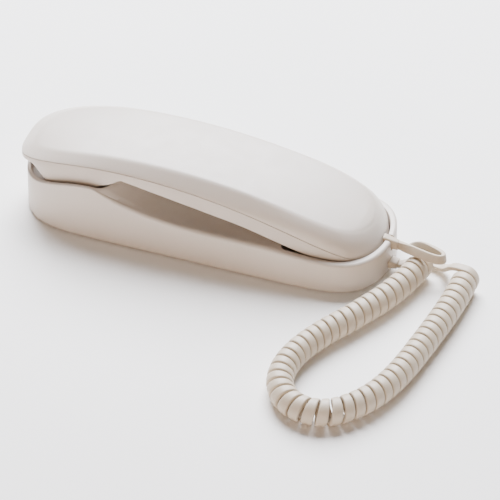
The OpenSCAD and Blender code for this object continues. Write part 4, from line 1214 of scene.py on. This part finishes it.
    def _openings(self) -> Solid:
        """Makes what is cut out of the front shell."""
        ring = [(math.cos(a) * self.screw_r, math.sin(a) * self.screw_r)
                for a in np.radians(np.arange(0, 360, 10))]
        screw = prism(ring, [(-1, self.screw_head), (2, self.screw_head), (2.01, 1), (8, 1)])
        holes = [screw.at(*spot) for spot in self._screws()]
        sound = cylinder(self.sound_r, -1, 4, 24)
        spots = [(0, 0)] + [(r * math.cos(2 * math.pi * k / n), r * math.sin(2 * math.pi * k / n))
                            for r, n in self.sound_rings for k in range(n)]
        holes += [sound.at(self.receiver_x + x, y, self.ear.foot_z) for x, y in spots]
        holes += [sound.at(self.mic_x, y, self.mouth.foot_z)
                  for y in (-self.mic_pitch, 0, self.mic_pitch)]
        for x, y, length, width in self.keypad.spots().values():
            window = rounded_box(length + 2 * self.window_gap, width + 2 * self.window_gap,
                                 self.window_corner)
            holes.append(prism(window, [(-1, 1), (6, 1)]).moved(self.form.on_face(x, y)))
        return together(holes)

    def front_shell(self, palette: Palette) -> None:
        """Makes the inner shell: a side band, the flat face and the two bosses."""
        f, bosses = self.form, (self.ear, self.mouth)
        steps = [(Cut.ADD, self._boss(boss, 0, 7)) for boss in bosses]
        steps.append((Cut.TAKE, self._lower(f.wall, f.wall, 2, 60)))
        steps += [(Cut.TAKE, self._boss(boss, f.wall, 3)) for boss in bosses]
        steps.append((Cut.ADD, self._lip()))
        steps += [(Cut.ADD, cylinder(*self.pillar).at(*spot)) for spot in self._screws()]
        post = cylinder(self.post_r, f.wall - 0.5, self.post_top, 24)
        steps += [(Cut.ADD, post.moved(f.on_face(x, y)))
                  for x in self.post_x for y in (-self.post_y, self.post_y)]
        steps += [(Cut.TAKE, self._openings()), (Cut.TAKE, block(*self.lead_hole))]
        shell = shaped(self._lower(0, 0, -f.seam / 2, self.count), steps)
        piece("handset_inner_shell", shell, palette[Look.SHELL], "handset",
              ["handset_front_shell"])

    def back_shell(self, palette: Palette) -> None:
        """Makes the arched outer shell."""
        f = self.form
        insets = [0.3 * k for k in range(1, 5)] + [0.45 * k for k in range(4, 26)]
        outer = self._upper(0, f.seam / 2, self.count, insets, self.columns)
        inner = self._upper(f.wall, -2, 50, self.lip_insets, 9)
        shell = shaped(outer, [(Cut.TAKE, inner), (Cut.TAKE, block(*self.lead_hole))])
        piece("handset_outer_shell", shell, palette[Look.SHELL], "handset",
              ["handset_back_shell"])


# ---------------------------------------------------------------- studio
@dataclass(frozen=True)
class Lamp:
    """Square soft light that faces the telephone. Place and size in metres, power in watts."""

    name: str
    place: Point
    size: float
    watts: float
    colour: str

    def lit(self) -> None:
        """Puts the light into the scene."""
        data = bpy.data.lights.new(self.name, "AREA")
        data.energy, data.size, data.color = self.watts, self.size, linear(self.colour)[:3]
        light = bpy.data.objects.new(self.name, data)
        light.location = self.place
        light.rotation_mode = "QUATERNION"
        light.rotation_quaternion = (-Vector(self.place)).to_track_quat("-Z", "Y")
        bpy.context.collection.objects.link(light)


@dataclass(frozen=True)
class Studio:
    """Camera, lights and floor. Angles in degrees, lengths in metres."""

    azimuth: float = 19.7
    elevation: float = 38.893
    distance: float = 2.6
    lens: float = 357.57
    sensor: float = 36.0
    target: Point = (0.001, 0.0, 0.0)
    aim_right: float = 0.02036
    aim_up: float = -0.01271
    floor_reach: float = 3.0
    room_light: float = 0.07
    lamps: tuple[Lamp, ...] = (
        Lamp("high_softbox", (-0.35, 1.1, 1.3), 1.4, 188, "#F2F6FF"),
        Lamp("left_softbox", (-1.1, -0.9, 0.5), 0.9, 0.2, "#FFC8A0"),
        Lamp("front_fill", (0.1, -1.5, 0.32), 0.9, 17, "#FFE4CE"))

    def camera(self) -> None:
        """Puts the camera at the side of the mouth end, above the table."""
        a, e = math.radians(self.azimuth), math.radians(self.elevation)
        back = Vector((math.sin(a) * math.cos(e), -math.cos(a) * math.cos(e), math.sin(e)))
        right = Vector((math.cos(a), math.sin(a), 0))
        up = back.cross(right)
        data = bpy.data.cameras.new("camera")
        data.lens, data.sensor_width = self.lens, self.sensor
        data.clip_start, data.clip_end = 0.1, 20
        camera = bpy.data.objects.new("camera", data)
        aim = Vector(self.target) + right * self.aim_right + up * self.aim_up
        camera.location = aim + back * self.distance
        camera.rotation_mode = "QUATERNION"
        camera.rotation_quaternion = (-back).to_track_quat("-Z", "Y")
        bpy.context.collection.objects.link(camera)
        bpy.context.scene.camera = camera

    def made(self, palette: Palette) -> None:
        """Makes everything round the telephone."""
        self.camera()
        for lamp in self.lamps:
            lamp.lit()
        world = bpy.data.worlds.new("pale_room")
        world.use_nodes = True
        sky = world.node_tree.nodes["Background"]
        sky.inputs["Color"].default_value = linear("#FFFFFF")
        sky.inputs["Strength"].default_value = self.room_light
        bpy.context.scene.world = world
        reach = self.floor_reach / MM
        floor = as_object("studio_floor", block((-reach, -reach, -5), (reach, reach, 0)), MM)
        floor.data.materials.append(palette[Look.FLOOR])


def dress_frame(palette: Palette) -> None:
    """Gives every node of the frame the material of its slot."""
    looks = {"shell_plastic": Look.SHELL, "key_plastic": Look.KEY, "cord_sheath": Look.VINYL,
             "grey_rubber": Look.RUBBER, "steel": Look.STEEL, "circuit_board": Look.BOARD,
             "black_plastic": Look.NYLON, "gold_contact": Look.GOLD, "can": Look.CAN}
    slots = {part["node"]: part["material_slot"] for part in frame["record"]["subparts"]}
    for name, obj in frame["nodes"].items():
        for place in obj.material_slots:
            place.material = palette[looks[slots[name]]]


def main() -> None:
    """Makes the scene."""
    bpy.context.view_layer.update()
    palette = Palette()
    Studio().made(palette)
    Cord().made(palette)
    dress_frame(palette)
    Cradle().made(palette)
    handset = Handset()
    handset.back_shell(palette)
    handset.front_shell(palette)
    handset.keypad.made(palette)


if __name__ == "__main__":
    logging.basicConfig(level=logging.INFO, format="%(message)s")
    main()
